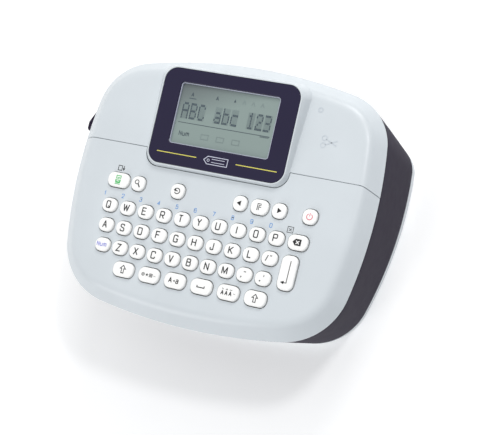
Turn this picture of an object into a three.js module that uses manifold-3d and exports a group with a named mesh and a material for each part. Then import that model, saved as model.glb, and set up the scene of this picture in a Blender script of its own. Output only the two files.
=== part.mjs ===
// A hand-held label maker lying on its back: keyboard below, raised display above, tape and cells behind.
// Units are millimetres. +X is to the right, +Y is up the keyboard towards the display, +Z is out of the face.
// The origin is on the flat back face, on the centre line of the case.
import * as THREE from "three";
import { mergeVertices } from "three/addons/utils/BufferGeometryUtils.js";
import Module from "manifold-3d";

const wasm = await Module();
wasm.setup();

// ---- driving dimensions ----

// Fits and walls
const WALL = 2.2; // moulded case walls
const SEAM = 0.3; // gap between two case pieces that meet
const CLEAR = 0.3; // gap round a piece that sits in or passes through another
const ROOM = 1.0; // free space between neighbours that never touch

// Keys
const KEY_PITCH = 8.4; // between letter keys in the first row
const ROW_PITCH = 8.5; // between letter rows
const ROW_NARROWING = 0.02; // each row is closer spaced than the one above by this share
const KEY_SPACE = 1.37; // between the tops of neighbouring keys
const ROW_SPACE = 2.8; // between the tops of neighbouring rows
const FUNCTION_ROW_Y = -2.0; // centre line of the top row of keys
const FUNCTION_ROW_GAP = 11.1; // from that row to the first letter row
const KEY_RISE = 1.4; // key tops above the face
const KEY_CROWN = 0.6; // height of the rounded edge of a key top
const KEY_FLANGE = 0.45; // how far the flange reaches out past the key
const KEY_FLANGE_THICKNESS = 1.0;
const KEY_TRAVEL = 1.0;
const KEY_CORNER = 2.6; // corner radius of a key
const TOP_KEY_EXTRA = 0.5; // keys outside the letter block are this much taller
const KEYBOARD_SHIFT = -1.25; // keyboard centre, left of the case centre

// Case
const SIDE_MARGIN = 19.25; // from the outermost keys to the side of the case
const BOTTOM_MARGIN = 17.7; // from the last row's centre line to the lower edge
const TOP_MARGIN = 7.5; // from the display cover to the upper edge
const EDGE_RUN = 6.0; // sloping edge of the front, measured across
const EDGE_DROP = 7.2; // and its depth below the face
const EDGE_SOFTNESS = 1.4; // height of the rounding at the top of that slope
const SEAM_Y = 14.3; // joint between keyboard panel and upper cover
const SEAM_DIP = 2.7; // how far that joint drops on the right-hand slope
const TAPER_TOP = 5.5; // the back is this much shorter at the top
const TAPER_BOTTOM = 5.1; // and at the bottom
const BACK_RIM = 5.0; // height of the back cover's rim
const BACK_FLOOR = 2.0;
const BACK_ROUND = 1.2; // rounding of the back's rim
const LIP_HEIGHT = 1.5; // the back cover's lip inside the body
const LIP_THICKNESS = 1.2;
const LEDGE_WIDTH = 2.4; // the shelf in the body that carries the board
const LEDGE_THICKNESS = 2.0;

// Display
const DISPLAY_X = -2.4;
const DISPLAY_Y = 8.3; // lower edge of the display cover
const DISPLAY_WIDTH = 61.0;
const DISPLAY_HEIGHT = 41.0;
const DISPLAY_CORNER = 5.5;
const DISPLAY_THICKNESS = 1.0;
const DISPLAY_RIM = 0.8; // light rim left round the display cover
const DISPLAY_RISE_LOW = 2.0; // height of the cover over the face at its lower edge
const DISPLAY_RISE_HIGH = 4.4; // and at its upper edge
const WALL_SPREAD_LOW = 1.2; // how far the housing's foot stands out at the lower edge
const WALL_SPREAD_HIGH = 3.6; // and at the upper edge
const WINDOW_WIDTH = 44.0;
const WINDOW_HEIGHT = 25.5;
const WINDOW_X = -0.1; // window centre from the display cover's centre
const WINDOW_Y = 1.7;
const WINDOW_CORNER = 0.8;
const LCD_BORDER = 2.4; // glass hidden behind the cover on each side
const LCD_THICKNESS = 2.4;

// Electronics
const BOARD_THICKNESS = 1.6;
const MAT_THICKNESS = 1.2;
const MAT_CLEAR = 0.2; // key flange to mat at full travel

// Tape, print head and drive
const CASSETTE_Y = 1.0; // lower edge of the cassette
const CASSETTE_LENGTH = 68.0;
const CASSETTE_WIDTH = 44.0;
const CASSETTE_THICKNESS = 17.0;
const CASSETTE_CORNER = 6.0;
const SPOOL_RADIUS = 5.0;
const SPOOL_PITCH = 34.0;
const PLATE_THICKNESS = 2.0; // divider between tape bay and drive chamber
const PLATEN_X = -50.0; // platen axis
const PLATEN_UP = 23.0; // its height over the lower edge of the cassette
const PLATEN_RADIUS = 4.5;
const SHAFT_RADIUS = 1.5;
const TAPE_GAP = 0.6; // between platen and print head
const HEAD_THICKNESS = 3.4;
const HEAD_WIDTH = 13.0;
const GEAR_MODULE = 0.8;
const GEAR_TEETH = 20;
const PINION_TEETH = 10;
const BACKLASH = 0.5;
const GEAR_THICKNESS = 2.5;
const ADDENDUM = 0.7; // tooth height over the pitch circle, in modules
const DEDENDUM = 1.25; // and below it
const TIP_SHARE = 0.55; // tooth width at its tip, of its width on the pitch circle
const ROOT_SHARE = 1.5; // and at its root
const MOTOR_RADIUS = 8.0;
const MOTOR_LENGTH = 12.0;
const MOTOR_SHAFT_RADIUS = 1.0;
const MOTOR_SHAFT_DEPTH = 3.0; // shaft inside the motor
const EAR_THICKNESS = 1.5;
const POST_RADIUS = 2.0;
const CHAMBER_SPARE = 4.4; // over the motor
const EXIT_WIDTH = 5.0; // mouth of the label slot
const PARTITION_THICKNESS = 1.6; // wall between tape bay and cells

// Cutter button
const CUTTER_DROP = 5.0; // lower end of the button below the platen axis
const CUTTER_LENGTH = 12.0;
const CUTTER_SLOPE = 8.0; // length of its slanting upper part
const CUTTER_NOSE = 1.5; // rounding of its lower end
const CUTTER_PROUD = 4.3; // how far it stands out of the side
const CUTTER_TRAVEL = 4.0;
const CUTTER_FLANGE = 2.0; // flange thickness, and how far it reaches out
const CUTTER_ARM = 3.0; // thickness of the arm that carries the blade

// Cells
const CELL_DIAMETER = 10.5;
const CELL_LENGTH = 44.5;
const CELL_ROWS = 3;
const CELL_COLUMNS = 2;
const CELL_JOIN = 0.1; // neighbouring cells are joined by this much
const NUB_RADIUS = 2.0;
const NUB_LENGTH = 0.8;

// ---- places that follow from them ----

const BAY_Z = BACK_RIM + LIP_HEIGHT + ROOM;
const PLATE_Z = BAY_Z + CASSETTE_THICKNESS + ROOM;
const CHAMBER_Z = PLATE_Z + PLATE_THICKNESS;
const GEAR_Z = CHAMBER_Z + ROOM;
const GEAR_TOP = GEAR_Z + GEAR_THICKNESS;
const MOTOR_Z = GEAR_TOP + 2 * ROOM;
const LEDGE_Z = MOTOR_Z + MOTOR_LENGTH + CHAMBER_SPARE; // top of the shelf
const BOARD_Z = LEDGE_Z + CLEAR;
const MAT_Z = BOARD_Z + BOARD_THICKNESS + CLEAR;
const FLANGE_Z = MAT_Z + MAT_THICKNESS + MAT_CLEAR + KEY_TRAVEL;
const FACE_Z = FLANGE_Z + KEY_FLANGE_THICKNESS + CLEAR + WALL;
const EDGE_Z = FACE_Z - EDGE_DROP;

const rowY = (row) => FUNCTION_ROW_Y - FUNCTION_ROW_GAP - row * ROW_PITCH;
const rowPitch = (row) => KEY_PITCH * (1 - row * ROW_NARROWING);
const LAST_ROW = 3;

// Top-row and outer keys: place along the row and width, both in key pitches from the letters' centre.
const TOP_KEYS = [
  ["key_print", -4.36, 1.33],
  ["key_find", -3.26, 0.89],
  ["key_recall", -1.08, 0.89],
  ["key_left", 2.27, 0.87],
  ["key_function", 3.3, 1.07],
  ["key_right", 4.32, 0.89],
  ["key_power", 5.89, 0.91],
];
const BACKSPACE = { place: 5.61, width: 1.17 };
const ENTER = { place: 5.46, width: 0.98 };
const LOWER_KEYS = ["shift_left", "symbol", "caps", "space", "accent", "shift_right"];
const LOWER_PITCH = 1.412; // in key pitches, as is their width
const LOWER_WIDTH = 1.28;
const LETTER_ROWS = ["q w e r t y u i o p", "a s d f g h j k l slash", "num z x c v b n m comma dot"];

const leftmost = TOP_KEYS[0];
const rightmost = TOP_KEYS[TOP_KEYS.length - 1];
const LEFT_REACH = (leftmost[2] / 2 - leftmost[1]) * KEY_PITCH;
const RIGHT_REACH = (rightmost[2] / 2 + rightmost[1]) * KEY_PITCH;
const LETTERS_X = KEYBOARD_SHIFT + (LEFT_REACH - RIGHT_REACH) / 2;
const LOWER_X = KEYBOARD_SHIFT;
const HALF_WIDTH = (LEFT_REACH + RIGHT_REACH) / 2 + SIDE_MARGIN;
const UP_REACH = DISPLAY_Y + DISPLAY_HEIGHT + TOP_MARGIN;
const DOWN_REACH = BOTTOM_MARGIN - rowY(LAST_ROW);

// The case outline is five tangent arcs a side: bottom, lower corner, flank, upper corner, top.
const FRONT = {
  half: HALF_WIDTH,
  up: UP_REACH,
  down: DOWN_REACH,
  flankY: 5.8, // height of the widest point
  topArc: 222,
  bottomArc: 240,
  flankArc: 193,
  upperCorner: 23.4,
  lowerCorner: 27.7,
};
const BACK = {
  ...FRONT,
  up: UP_REACH - TAPER_TOP,
  down: DOWN_REACH - TAPER_BOTTOM,
  flankY: 20,
  flankArc: 175,
  upperCorner: 12,
  lowerCorner: 25,
};

const PLATEN_TAPE_X = PLATEN_X + PLATEN_RADIUS + TAPE_GAP / 2;
const HEAD_X = PLATEN_X + PLATEN_RADIUS + TAPE_GAP;
const CASSETTE_X = HEAD_X + HEAD_THICKNESS + ROOM;
const PARTITION_Y = CASSETTE_Y - 2 * ROOM; // upper side of the partition
const PLATEN_Y = CASSETTE_Y + PLATEN_UP;
const GEAR_PITCH_RADIUS = (GEAR_MODULE * GEAR_TEETH) / 2;
const PINION_PITCH_RADIUS = (GEAR_MODULE * PINION_TEETH) / 2;
const MOTOR_X = PLATEN_X + GEAR_PITCH_RADIUS + PINION_PITCH_RADIUS;
const GEAR_TIP = GEAR_PITCH_RADIUS + GEAR_MODULE;
const CUTTER_Y = PLATEN_Y - CUTTER_DROP;
const EAR_REACH = MOTOR_RADIUS + POST_RADIUS;
const CUTTER_ARM_Y = PLATEN_Y + Math.max(MOTOR_RADIUS, GEAR_TIP) + ROOM;
const CUTTER_ARM_Z = GEAR_TOP + ROOM;
const CUTTER_BLADE_X = PLATEN_TAPE_X - 2 * ROOM; // end of the arm at rest
const CUTTER_LOW_Z = GEAR_TOP + ROOM; // the button passes over the gear when it is pressed
const CUTTER_HIGH_Z = LEDGE_Z - LEDGE_THICKNESS - CUTTER_FLANGE;

// ---- shapes ----

const solid = (geometry) => {
  const bare = geometry.clone();
  bare.deleteAttribute("normal");
  bare.deleteAttribute("uv");
  const { index, attributes } = mergeVertices(bare, 1e-4);
  return new wasm.Manifold(
    new wasm.Mesh({
      numProp: 3,
      vertProperties: new Float32Array(attributes.position.array),
      triVerts: new Uint32Array(index.array),
    }),
  );
};

const box = (x0, x1, y0, y1, z0, z1) =>
  solid(
    new THREE.BoxGeometry(x1 - x0, y1 - y0, z1 - z0).translate(
      (x0 + x1) / 2,
      (y0 + y1) / 2,
      (z0 + z1) / 2,
    ),
  );

const FINE = 20; // sides of the larger round pieces
const COARSE = 12; // and of shafts, posts and cells

const drum = (x, y, radius, z0, z1, sides = COARSE) =>
  solid(
    new THREE.CylinderGeometry(radius, radius, z1 - z0, sides)
      .rotateX(Math.PI / 2)
      .translate(x, y, (z0 + z1) / 2),
  );

const prism = (points, z0, z1) =>
  solid(
    new THREE.ExtrudeGeometry(new THREE.Shape(points), {
      depth: z1 - z0,
      bevelEnabled: false,
    }).translate(0, 0, z0),
  );

// A closed skin over rings of equal point count, each anticlockwise seen from +Z, lowest first.
const loft = (rings) => {
  const count = rings[0].length;
  const cap = THREE.ShapeUtils.triangulateShape(
    rings[0].map((p) => new THREE.Vector2(p.x, p.y)),
    [],
  );
  const top = (rings.length - 1) * count;
  const index = cap.flatMap(([a, b, c]) => [a, c, b, top + a, top + b, top + c]);
  for (let r = 0; r < rings.length - 1; r++)
    for (let i = 0; i < count; i++) {
      const a = r * count + i;
      const b = r * count + ((i + 1) % count);
      index.push(a, b, b + count, a, b + count, a + count);
    }
  const geometry = new THREE.BufferGeometry().setFromPoints(rings.flat());
  geometry.setIndex(index);
  return solid(geometry);
};

const atHeight = (points, z) => points.map((p) => new THREE.Vector3(p.x, p.y, z));

// The rounded rectangle's points, anticlockwise, steps + 1 to a corner.
const roundedRect = (x0, x1, y0, y1, radius, steps = 2) => {
  const r = Math.min(radius, (x1 - x0) / 2, (y1 - y0) / 2);
  const corners = [
    [x1 - r, y0 + r],
    [x1 - r, y1 - r],
    [x0 + r, y1 - r],
    [x0 + r, y0 + r],
  ];
  return corners.flatMap(([cx, cy], corner) =>
    Array.from({ length: steps + 1 }, (_, i) => {
      const angle = ((corner - 1 + i / steps) * Math.PI) / 2;
      return new THREE.Vector2(cx + r * Math.cos(angle), cy + r * Math.sin(angle));
    }),
  );
};

// Centre of a corner arc that touches both larger arcs from inside, on the right-hand side.
const cornerCentre = (c1, r1, c2, r2) => {
  const between = c2.clone().sub(c1);
  const d = between.length();
  const along = (r1 * r1 - r2 * r2 + d * d) / (2 * d);
  const aside = Math.sqrt(r1 * r1 - along * along);
  const unit = between.divideScalar(d);
  const foot = c1.clone().addScaledVector(unit, along);
  const normal = new THREE.Vector2(-unit.y, unit.x);
  const sides = [aside, -aside].map((s) => foot.clone().addScaledVector(normal, s));
  return sides[0].x > sides[1].x ? sides[0] : sides[1];
};

const ARC_STEPS = 4;
const arc = (centre, radius, from, to) =>
  Array.from({ length: ARC_STEPS }, (_, i) => {
    const angle = from + ((to - from) * i) / ARC_STEPS;
    return new THREE.Vector2(
      centre.x + radius * Math.cos(angle),
      centre.y + radius * Math.sin(angle),
    );
  });

// The case outline at height z, moved in by inset. It changes evenly from BACK to FRONT up to the edge.
const caseOutline = (z, inset = 0) => {
  const share = THREE.MathUtils.clamp(z / EDGE_Z, 0, 1);
  const at = (name) => THREE.MathUtils.lerp(BACK[name], FRONT[name], share);
  const size = (name) => at(name) - inset;
  const flank = new THREE.Vector2(size("half") - size("flankArc"), at("flankY"));
  const top = new THREE.Vector2(0, size("up") - size("topArc"));
  const bottom = new THREE.Vector2(0, size("bottomArc") - size("down"));
  const upper = cornerCentre(
    flank,
    size("flankArc") - size("upperCorner"),
    top,
    size("topArc") - size("upperCorner"),
  );
  const lower = cornerCentre(
    flank,
    size("flankArc") - size("lowerCorner"),
    bottom,
    size("bottomArc") - size("lowerCorner"),
  );
  const heading = (from, to) => Math.atan2(to.y - from.y, to.x - from.x);
  const turns = [
    -Math.PI / 2,
    heading(bottom, lower),
    heading(flank, lower),
    heading(flank, upper),
    heading(top, upper),
    Math.PI / 2,
  ];
  const right = [
    ...arc(bottom, size("bottomArc"), turns[0], turns[1]),
    ...arc(lower, size("lowerCorner"), turns[1], turns[2]),
    ...arc(flank, size("flankArc"), turns[2], turns[3]),
    ...arc(upper, size("upperCorner"), turns[3], turns[4]),
    ...arc(top, size("topArc"), turns[4], turns[5]),
  ];
  const crown = new THREE.Vector2(0, size("up"));
  const left = right.slice(1).map((p) => new THREE.Vector2(-p.x, p.y));
  return [...right, crown, ...left.reverse()];
};

// Half the case's width at a height y on the outline at z, above the widest point.
const halfWidthAt = (y, z, inset) => {
  const side = caseOutline(z, inset).filter((p) => p.x > 0);
  const next = side.findIndex((p) => p.y > y);
  const [from, to] = [side[next - 1], side[next]];
  return THREE.MathUtils.mapLinear(y, from.y, to.y, from.x, to.x);
};

// A skin over case outlines given as [height, inset] pairs, lowest first.
const caseLoft = (levels) => loft(levels.map(([z, inset]) => atHeight(caseOutline(z, inset), z)));

// A spur gear's outline: each tooth is a trapezoid, thinned by the backlash.
const gearOutline = (teeth, startAngle) => {
  const radius = (GEAR_MODULE * teeth) / 2;
  const root = radius - DEDENDUM * GEAR_MODULE;
  const tip = radius + ADDENDUM * GEAR_MODULE;
  const pitchAngle = (2 * Math.PI) / teeth;
  const half = (pitchAngle - BACKLASH / radius) / 4;
  const profile = [
    [-ROOT_SHARE * half, root],
    [-TIP_SHARE * half, tip],
    [TIP_SHARE * half, tip],
    [ROOT_SHARE * half, root],
  ];
  return Array.from({ length: teeth }, (_, tooth) =>
    profile.map(([turn, r]) => {
      const angle = startAngle + tooth * pitchAngle + turn;
      return new THREE.Vector2(r * Math.cos(angle), r * Math.sin(angle));
    }),
  ).flat();
};

const gear = (x, y, teeth, startAngle, z0, z1) =>
  prism(gearOutline(teeth, startAngle), z0, z1).translate([x, y, 0]);

// ---- materials ----

const finish = (color, roughness, metalness = 0) =>
  new THREE.MeshStandardMaterial({ color, roughness, metalness });

const PANEL_GREY = finish(0xd4dbe2, 0.45);
const CASE_CHARCOAL = finish(0x44424e, 0.55);
const DISPLAY_NAVY = finish(0x2e2848, 0.2);
const LCD_GREEN = finish(0x8c9b96, 0.25);
const KEY_WHITE = finish(0xf2f2f0, 0.4);
const BOARD_GREEN = finish(0x1f5a38, 0.5);
const RUBBER_GREY = finish(0x9a9c9e, 0.85);
const RUBBER_BLACK = finish(0x202022, 0.9);
const STEEL = finish(0xa8abb0, 0.35, 0.9);
const BRASS = finish(0xb99a50, 0.35, 0.9);
const CASSETTE_BLACK = finish(0x2a2a2e, 0.4);
const CELL_JACKET = finish(0x3a5a86, 0.4);

const group = new THREE.Group();

const add = (name, body, material) => {
  const { numProp, vertProperties, triVerts } = body.getMesh();
  const geometry = new THREE.BufferGeometry();
  geometry.setAttribute("position", new THREE.BufferAttribute(vertProperties, numProp));
  geometry.setIndex(new THREE.BufferAttribute(triVerts, 1));
  geometry.computeVertexNormals();
  const mesh = new THREE.Mesh(geometry, material);
  mesh.name = name;
  group.add(mesh);
};

// ---- keys ----

const letterWidth = (row) => rowPitch(row) - KEY_SPACE;
const LETTER_HEIGHT = ROW_PITCH - ROW_SPACE;
const TOP_KEY_HEIGHT = LETTER_HEIGHT + TOP_KEY_EXTRA;
const placeX = (place) => LETTERS_X + place * KEY_PITCH;
const unitWidth = (units) => units * KEY_PITCH - KEY_SPACE;

const letterKeys = LETTER_ROWS.flatMap((names, row) =>
  names.split(" ").map((name, i, all) => ({
    name: "key_" + name,
    x: LETTERS_X + (i - (all.length - 1) / 2) * rowPitch(row),
    y: rowY(row),
    width: letterWidth(LETTER_ROWS.length - 1),
    height: LETTER_HEIGHT,
  })),
);
const topKeys = TOP_KEYS.map(([name, place, units]) => ({
  name,
  x: placeX(place),
  y: FUNCTION_ROW_Y,
  width: unitWidth(units),
  height: TOP_KEY_HEIGHT,
}));
const outerKeys = [
  {
    name: "key_backspace",
    x: placeX(BACKSPACE.place),
    y: rowY(0),
    width: unitWidth(BACKSPACE.width),
    height: TOP_KEY_HEIGHT,
  },
  {
    name: "key_enter",
    x: placeX(ENTER.place),
    y: (rowY(1) + rowY(2)) / 2,
    width: unitWidth(ENTER.width),
    height: ROW_PITCH + LETTER_HEIGHT,
  },
];
const lowerKeys = LOWER_KEYS.map((name, i, all) => ({
  name: "key_" + name,
  x: LOWER_X + (i - (all.length - 1) / 2) * LOWER_PITCH * KEY_PITCH,
  y: rowY(LAST_ROW),
  width: unitWidth(LOWER_WIDTH),
  height: TOP_KEY_HEIGHT,
}));
const keys = [...topKeys, ...letterKeys, ...outerKeys, ...lowerKeys];

// A key's outline, grown by extra on every side.
const keyOutline = ({ x, y, width, height }, extra = 0) =>
  roundedRect(
    x - width / 2 - extra,
    x + width / 2 + extra,
    y - height / 2 - extra,
    y + height / 2 + extra,
    KEY_CORNER + extra,
  );

const keyBody = (key) => {
  const flangeTop = FLANGE_Z + KEY_FLANGE_THICKNESS;
  const top = FACE_Z + KEY_RISE;
  return loft([
    atHeight(keyOutline(key, KEY_FLANGE), FLANGE_Z),
    atHeight(keyOutline(key, KEY_FLANGE), flangeTop),
    atHeight(keyOutline(key), flangeTop),
    atHeight(keyOutline(key), top - KEY_CROWN),
    atHeight(keyOutline(key, -KEY_CROWN), top),
  ]);
};

const keyHole = (key) =>
  prism(keyOutline(key, SEAM), FACE_Z - 2 * WALL, FACE_Z + KEY_RISE);

// ---- front of the case ----

const FAR = 2 * HALF_WIDTH; // beyond every piece

// The whole front as one pan, before it is split into panel and cover.
const frontPan = () => {
  const slopeTop = FACE_Z - EDGE_SOFTNESS;
  const slopeInset = EDGE_RUN - EDGE_SOFTNESS;
  const outside = caseLoft([
    [EDGE_Z, 0],
    [slopeTop, slopeInset],
    [FACE_Z, EDGE_RUN],
  ]);
  const inside = caseLoft([
    [EDGE_Z - ROOM, WALL],
    [EDGE_Z, WALL],
    [slopeTop - WALL, slopeInset + WALL / 2],
    [FACE_Z - WALL, EDGE_RUN + WALL / 2],
  ]);
  return outside.subtract(inside);
};

// The display stands in a group tilted about its lower edge.
const tilt = Math.atan((DISPLAY_RISE_HIGH - DISPLAY_RISE_LOW) / DISPLAY_HEIGHT);
const displayFrame = new THREE.Matrix4()
  .makeRotationX(tilt)
  .setPosition(DISPLAY_X, DISPLAY_Y, FACE_Z + DISPLAY_RISE_LOW);

const displayRing = (grow, z, corner = DISPLAY_CORNER) =>
  roundedRect(
    -DISPLAY_WIDTH / 2 - grow,
    DISPLAY_WIDTH / 2 + grow,
    -grow,
    DISPLAY_HEIGHT + grow,
    corner + grow,
    3,
  ).map((p) => new THREE.Vector3(p.x, p.y, z));

const tilted = (rings) => loft(rings.map((ring) => ring.map((p) => p.applyMatrix4(displayFrame))));

// The housing's foot spreads from the lower edge to the upper one.
const footOutline = (grow) =>
  displayRing(0, 0).map((p) => {
    const share = p.y / DISPLAY_HEIGHT;
    const spread = THREE.MathUtils.lerp(WALL_SPREAD_LOW, WALL_SPREAD_HIGH, share) + grow;
    const across = 1 + spread / (DISPLAY_WIDTH / 2);
    const upperLimit = TOP_MARGIN - EDGE_RUN + EDGE_SOFTNESS;
    const y = p.y < DISPLAY_HEIGHT / 2 ? -WALL_SPREAD_LOW - grow : upperLimit + grow;
    const pull = Math.abs(p.y / DISPLAY_HEIGHT - 0.5) * 2;
    return new THREE.Vector2(DISPLAY_X + p.x * across, DISPLAY_Y + p.y + y * pull);
  });

const footPrism = (grow) => prism(footOutline(grow), EDGE_Z - ROOM, FACE_Z + KEY_RISE);

const housing = () =>
  loft([
    atHeight(footOutline(0), FACE_Z - WALL),
    atHeight(footOutline(0), FACE_Z - EDGE_SOFTNESS / 2),
    displayRing(DISPLAY_RIM, 0).map((p) => p.applyMatrix4(displayFrame)),
  ]);

const windowX0 = WINDOW_X - WINDOW_WIDTH / 2;
const windowY0 = DISPLAY_HEIGHT / 2 + WINDOW_Y - WINDOW_HEIGHT / 2;

// The window's rectangle in the display's frame, grown on every side.
const windowRing = (grow, z) =>
  atHeight(
    roundedRect(
      windowX0 - grow,
      windowX0 + WINDOW_WIDTH + grow,
      windowY0 - grow,
      windowY0 + WINDOW_HEIGHT + grow,
      WINDOW_CORNER,
      1,
    ),
    z,
  );

const LCD_TOP = -DISPLAY_THICKNESS - CLEAR;
const displaySeat = () =>
  tilted([displayRing(CLEAR, -DISPLAY_THICKNESS - CLEAR), displayRing(CLEAR, ROOM)]);
const THROUGH = -EDGE_DROP - WALL; // below the front's wall, from the display's face
const lcdOpening = () =>
  tilted([windowRing(LCD_BORDER + CLEAR, THROUGH), windowRing(LCD_BORDER + CLEAR, 0)]);

const addFront = () => {
  const pan = frontPan();
  const slope = HALF_WIDTH - EDGE_RUN;
  const aboveSeam = (y) => {
    const corners = [
      [-FAR, y],
      [slope, y],
      [HALF_WIDTH, y - SEAM_DIP],
      [FAR, y - SEAM_DIP],
      [FAR, FAR],
      [-FAR, FAR],
    ];
    return prism(corners.map(([px, py]) => new THREE.Vector2(px, py)), 0, FAR);
  };
  const panel = keys.reduce(
    (body, key) => body.subtract(keyHole(key)),
    pan.subtract(aboveSeam(SEAM_Y)).subtract(footPrism(SEAM)),
  );
  const cover = pan
    .intersect(aboveSeam(SEAM_Y + SEAM).add(footPrism(0)))
    .add(housing())
    .subtract(displaySeat())
    .subtract(lcdOpening());
  add("keyboard_panel", panel, PANEL_GREY);
  add("upper_cover", cover, PANEL_GREY);
};

const addDisplay = () => {
  const plate = tilted([displayRing(0, -DISPLAY_THICKNESS), displayRing(0, 0)]);
  const window = tilted([windowRing(0, THROUGH), windowRing(0, ROOM)]);
  add("display_bezel", plate.subtract(window), DISPLAY_NAVY);
  const glass = tilted([
    windowRing(LCD_BORDER, LCD_TOP - LCD_THICKNESS),
    windowRing(LCD_BORDER, LCD_TOP),
  ]);
  add("lcd_panel", glass, LCD_GREEN);
};

// ---- body and back ----

const exitCut = () =>
  box(
    PLATEN_TAPE_X - EXIT_WIDTH / 2,
    PLATEN_TAPE_X + EXIT_WIDTH / 2,
    PLATEN_Y + HEAD_WIDTH,
    UP_REACH + ROOM,
    BAY_Z + ROOM,
    PLATE_Z - ROOM,
  );

const cutterHole = () =>
  box(
    -FAR,
    PLATEN_X - ROOM,
    CUTTER_Y - CLEAR,
    CUTTER_Y + CUTTER_LENGTH + CLEAR,
    CUTTER_LOW_Z - CLEAR,
    CUTTER_HIGH_Z + CLEAR,
  );

// Slot in the divider for the arm that carries the blade.
const bladeSlot = () =>
  box(
    CUTTER_BLADE_X - CUTTER_ARM - CLEAR,
    CUTTER_BLADE_X + CUTTER_TRAVEL + CLEAR,
    CUTTER_ARM_Y - CLEAR,
    CUTTER_ARM_Y + CUTTER_ARM + CLEAR,
    PLATE_Z - ROOM,
    CHAMBER_Z + ROOM,
  );

const addBody = () => {
  const bottom = BACK_RIM + SEAM;
  const top = EDGE_Z - SEAM;
  const outside = caseLoft([
    [bottom, 0],
    [PLATE_Z, 0],
    [top, 0],
  ]);
  const tapeBay = caseLoft([
    [0, WALL],
    [bottom, WALL],
    [PLATE_Z, WALL],
  ]);
  const chamber = caseLoft([
    [CHAMBER_Z, WALL],
    [LEDGE_Z - LEDGE_THICKNESS, WALL],
    [LEDGE_Z - LEDGE_THICKNESS, WALL + LEDGE_WIDTH],
    [LEDGE_Z, WALL + LEDGE_WIDTH],
    [LEDGE_Z, WALL],
    [EDGE_Z + ROOM, WALL],
  ]);
  const partition = box(
    -HALF_WIDTH + EDGE_RUN,
    HALF_WIDTH - EDGE_RUN,
    PARTITION_Y - PARTITION_THICKNESS,
    PARTITION_Y,
    BAY_Z,
    PLATE_Z + ROOM,
  ).intersect(outside);
  const post = (side) =>
    drum(MOTOR_X, PLATEN_Y + side * EAR_REACH, POST_RADIUS, PLATE_Z + ROOM, MOTOR_Z - CLEAR);
  const shaftHole = drum(PLATEN_X, PLATEN_Y, SHAFT_RADIUS + CLEAR, PLATE_Z - ROOM, CHAMBER_Z + ROOM);
  const body = outside
    .subtract(tapeBay)
    .subtract(chamber)
    .add(partition)
    .add(post(1))
    .add(post(-1))
    .subtract(shaftHole)
    .subtract(cutterHole())
    .subtract(bladeSlot())
    .subtract(exitCut());
  add("body_shell", body, CASE_CHARCOAL);
};

const addBackCover = () => {
  const halfway = BACK_ROUND * (1 - Math.SQRT1_2); // the rounding at 45 degrees
  const outside = caseLoft([
    [0, BACK_ROUND],
    [halfway, halfway],
    [BACK_ROUND, 0],
    [BACK_RIM, 0],
  ]);
  const inside = caseLoft([
    [BACK_FLOOR, WALL + BACK_ROUND / 2],
    [BACK_FLOOR + ROOM, WALL],
    [BACK_RIM + ROOM, WALL],
  ]);
  const lipInset = WALL + CLEAR;
  const lip = caseLoft([
    [BACK_FLOOR - ROOM, lipInset],
    [BACK_RIM + LIP_HEIGHT, lipInset],
  ]);
  const lipInside = caseLoft([
    [BACK_FLOOR, lipInset + LIP_THICKNESS],
    [BACK_RIM + LIP_HEIGHT + ROOM, lipInset + LIP_THICKNESS],
  ]);
  const cover = outside.subtract(inside).add(lip).subtract(lipInside);
  add("back_cover", cover, PANEL_GREY);
};

// ---- inside ----

const addElectronics = () => {
  const boardInset = WALL + ROOM;
  const board = caseLoft([
    [BOARD_Z, boardInset],
    [BOARD_Z + BOARD_THICKNESS, boardInset],
  ]);
  add("main_board", board, BOARD_GREEN);
  const matInset = EDGE_RUN + WALL + ROOM;
  const matTop = FUNCTION_ROW_Y + TOP_KEY_HEIGHT / 2 + 2 * KEY_FLANGE;
  const mat = caseLoft([
    [MAT_Z, matInset],
    [MAT_Z + MAT_THICKNESS, matInset],
  ]);
  add("keypad_mat", mat.intersect(box(-FAR, FAR, -FAR, matTop, 0, FAR)), RUBBER_GREY);
};

const addTapeAndHead = () => {
  const outline = roundedRect(
    CASSETTE_X,
    CASSETTE_X + CASSETTE_LENGTH,
    CASSETTE_Y,
    CASSETTE_Y + CASSETTE_WIDTH,
    CASSETTE_CORNER,
    3,
  );
  const spoolHole = (x) =>
    drum(x, CASSETTE_Y + CASSETTE_WIDTH / 2, SPOOL_RADIUS, BAY_Z - ROOM, PLATE_Z + ROOM, FINE);
  const middle = CASSETTE_X + CASSETTE_LENGTH / 2;
  const cassette = prism(outline, BAY_Z, BAY_Z + CASSETTE_THICKNESS)
    .subtract(spoolHole(middle - SPOOL_PITCH / 2))
    .subtract(spoolHole(middle + SPOOL_PITCH / 2));
  add("tape_cassette", cassette, CASSETTE_BLACK);
  const head = box(
    HEAD_X,
    HEAD_X + HEAD_THICKNESS,
    PLATEN_Y - HEAD_WIDTH / 2,
    PLATEN_Y + HEAD_WIDTH / 2,
    BAY_Z + 2 * ROOM,
    PLATE_Z - CLEAR,
  );
  add("print_head", head, STEEL);
};

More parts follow.
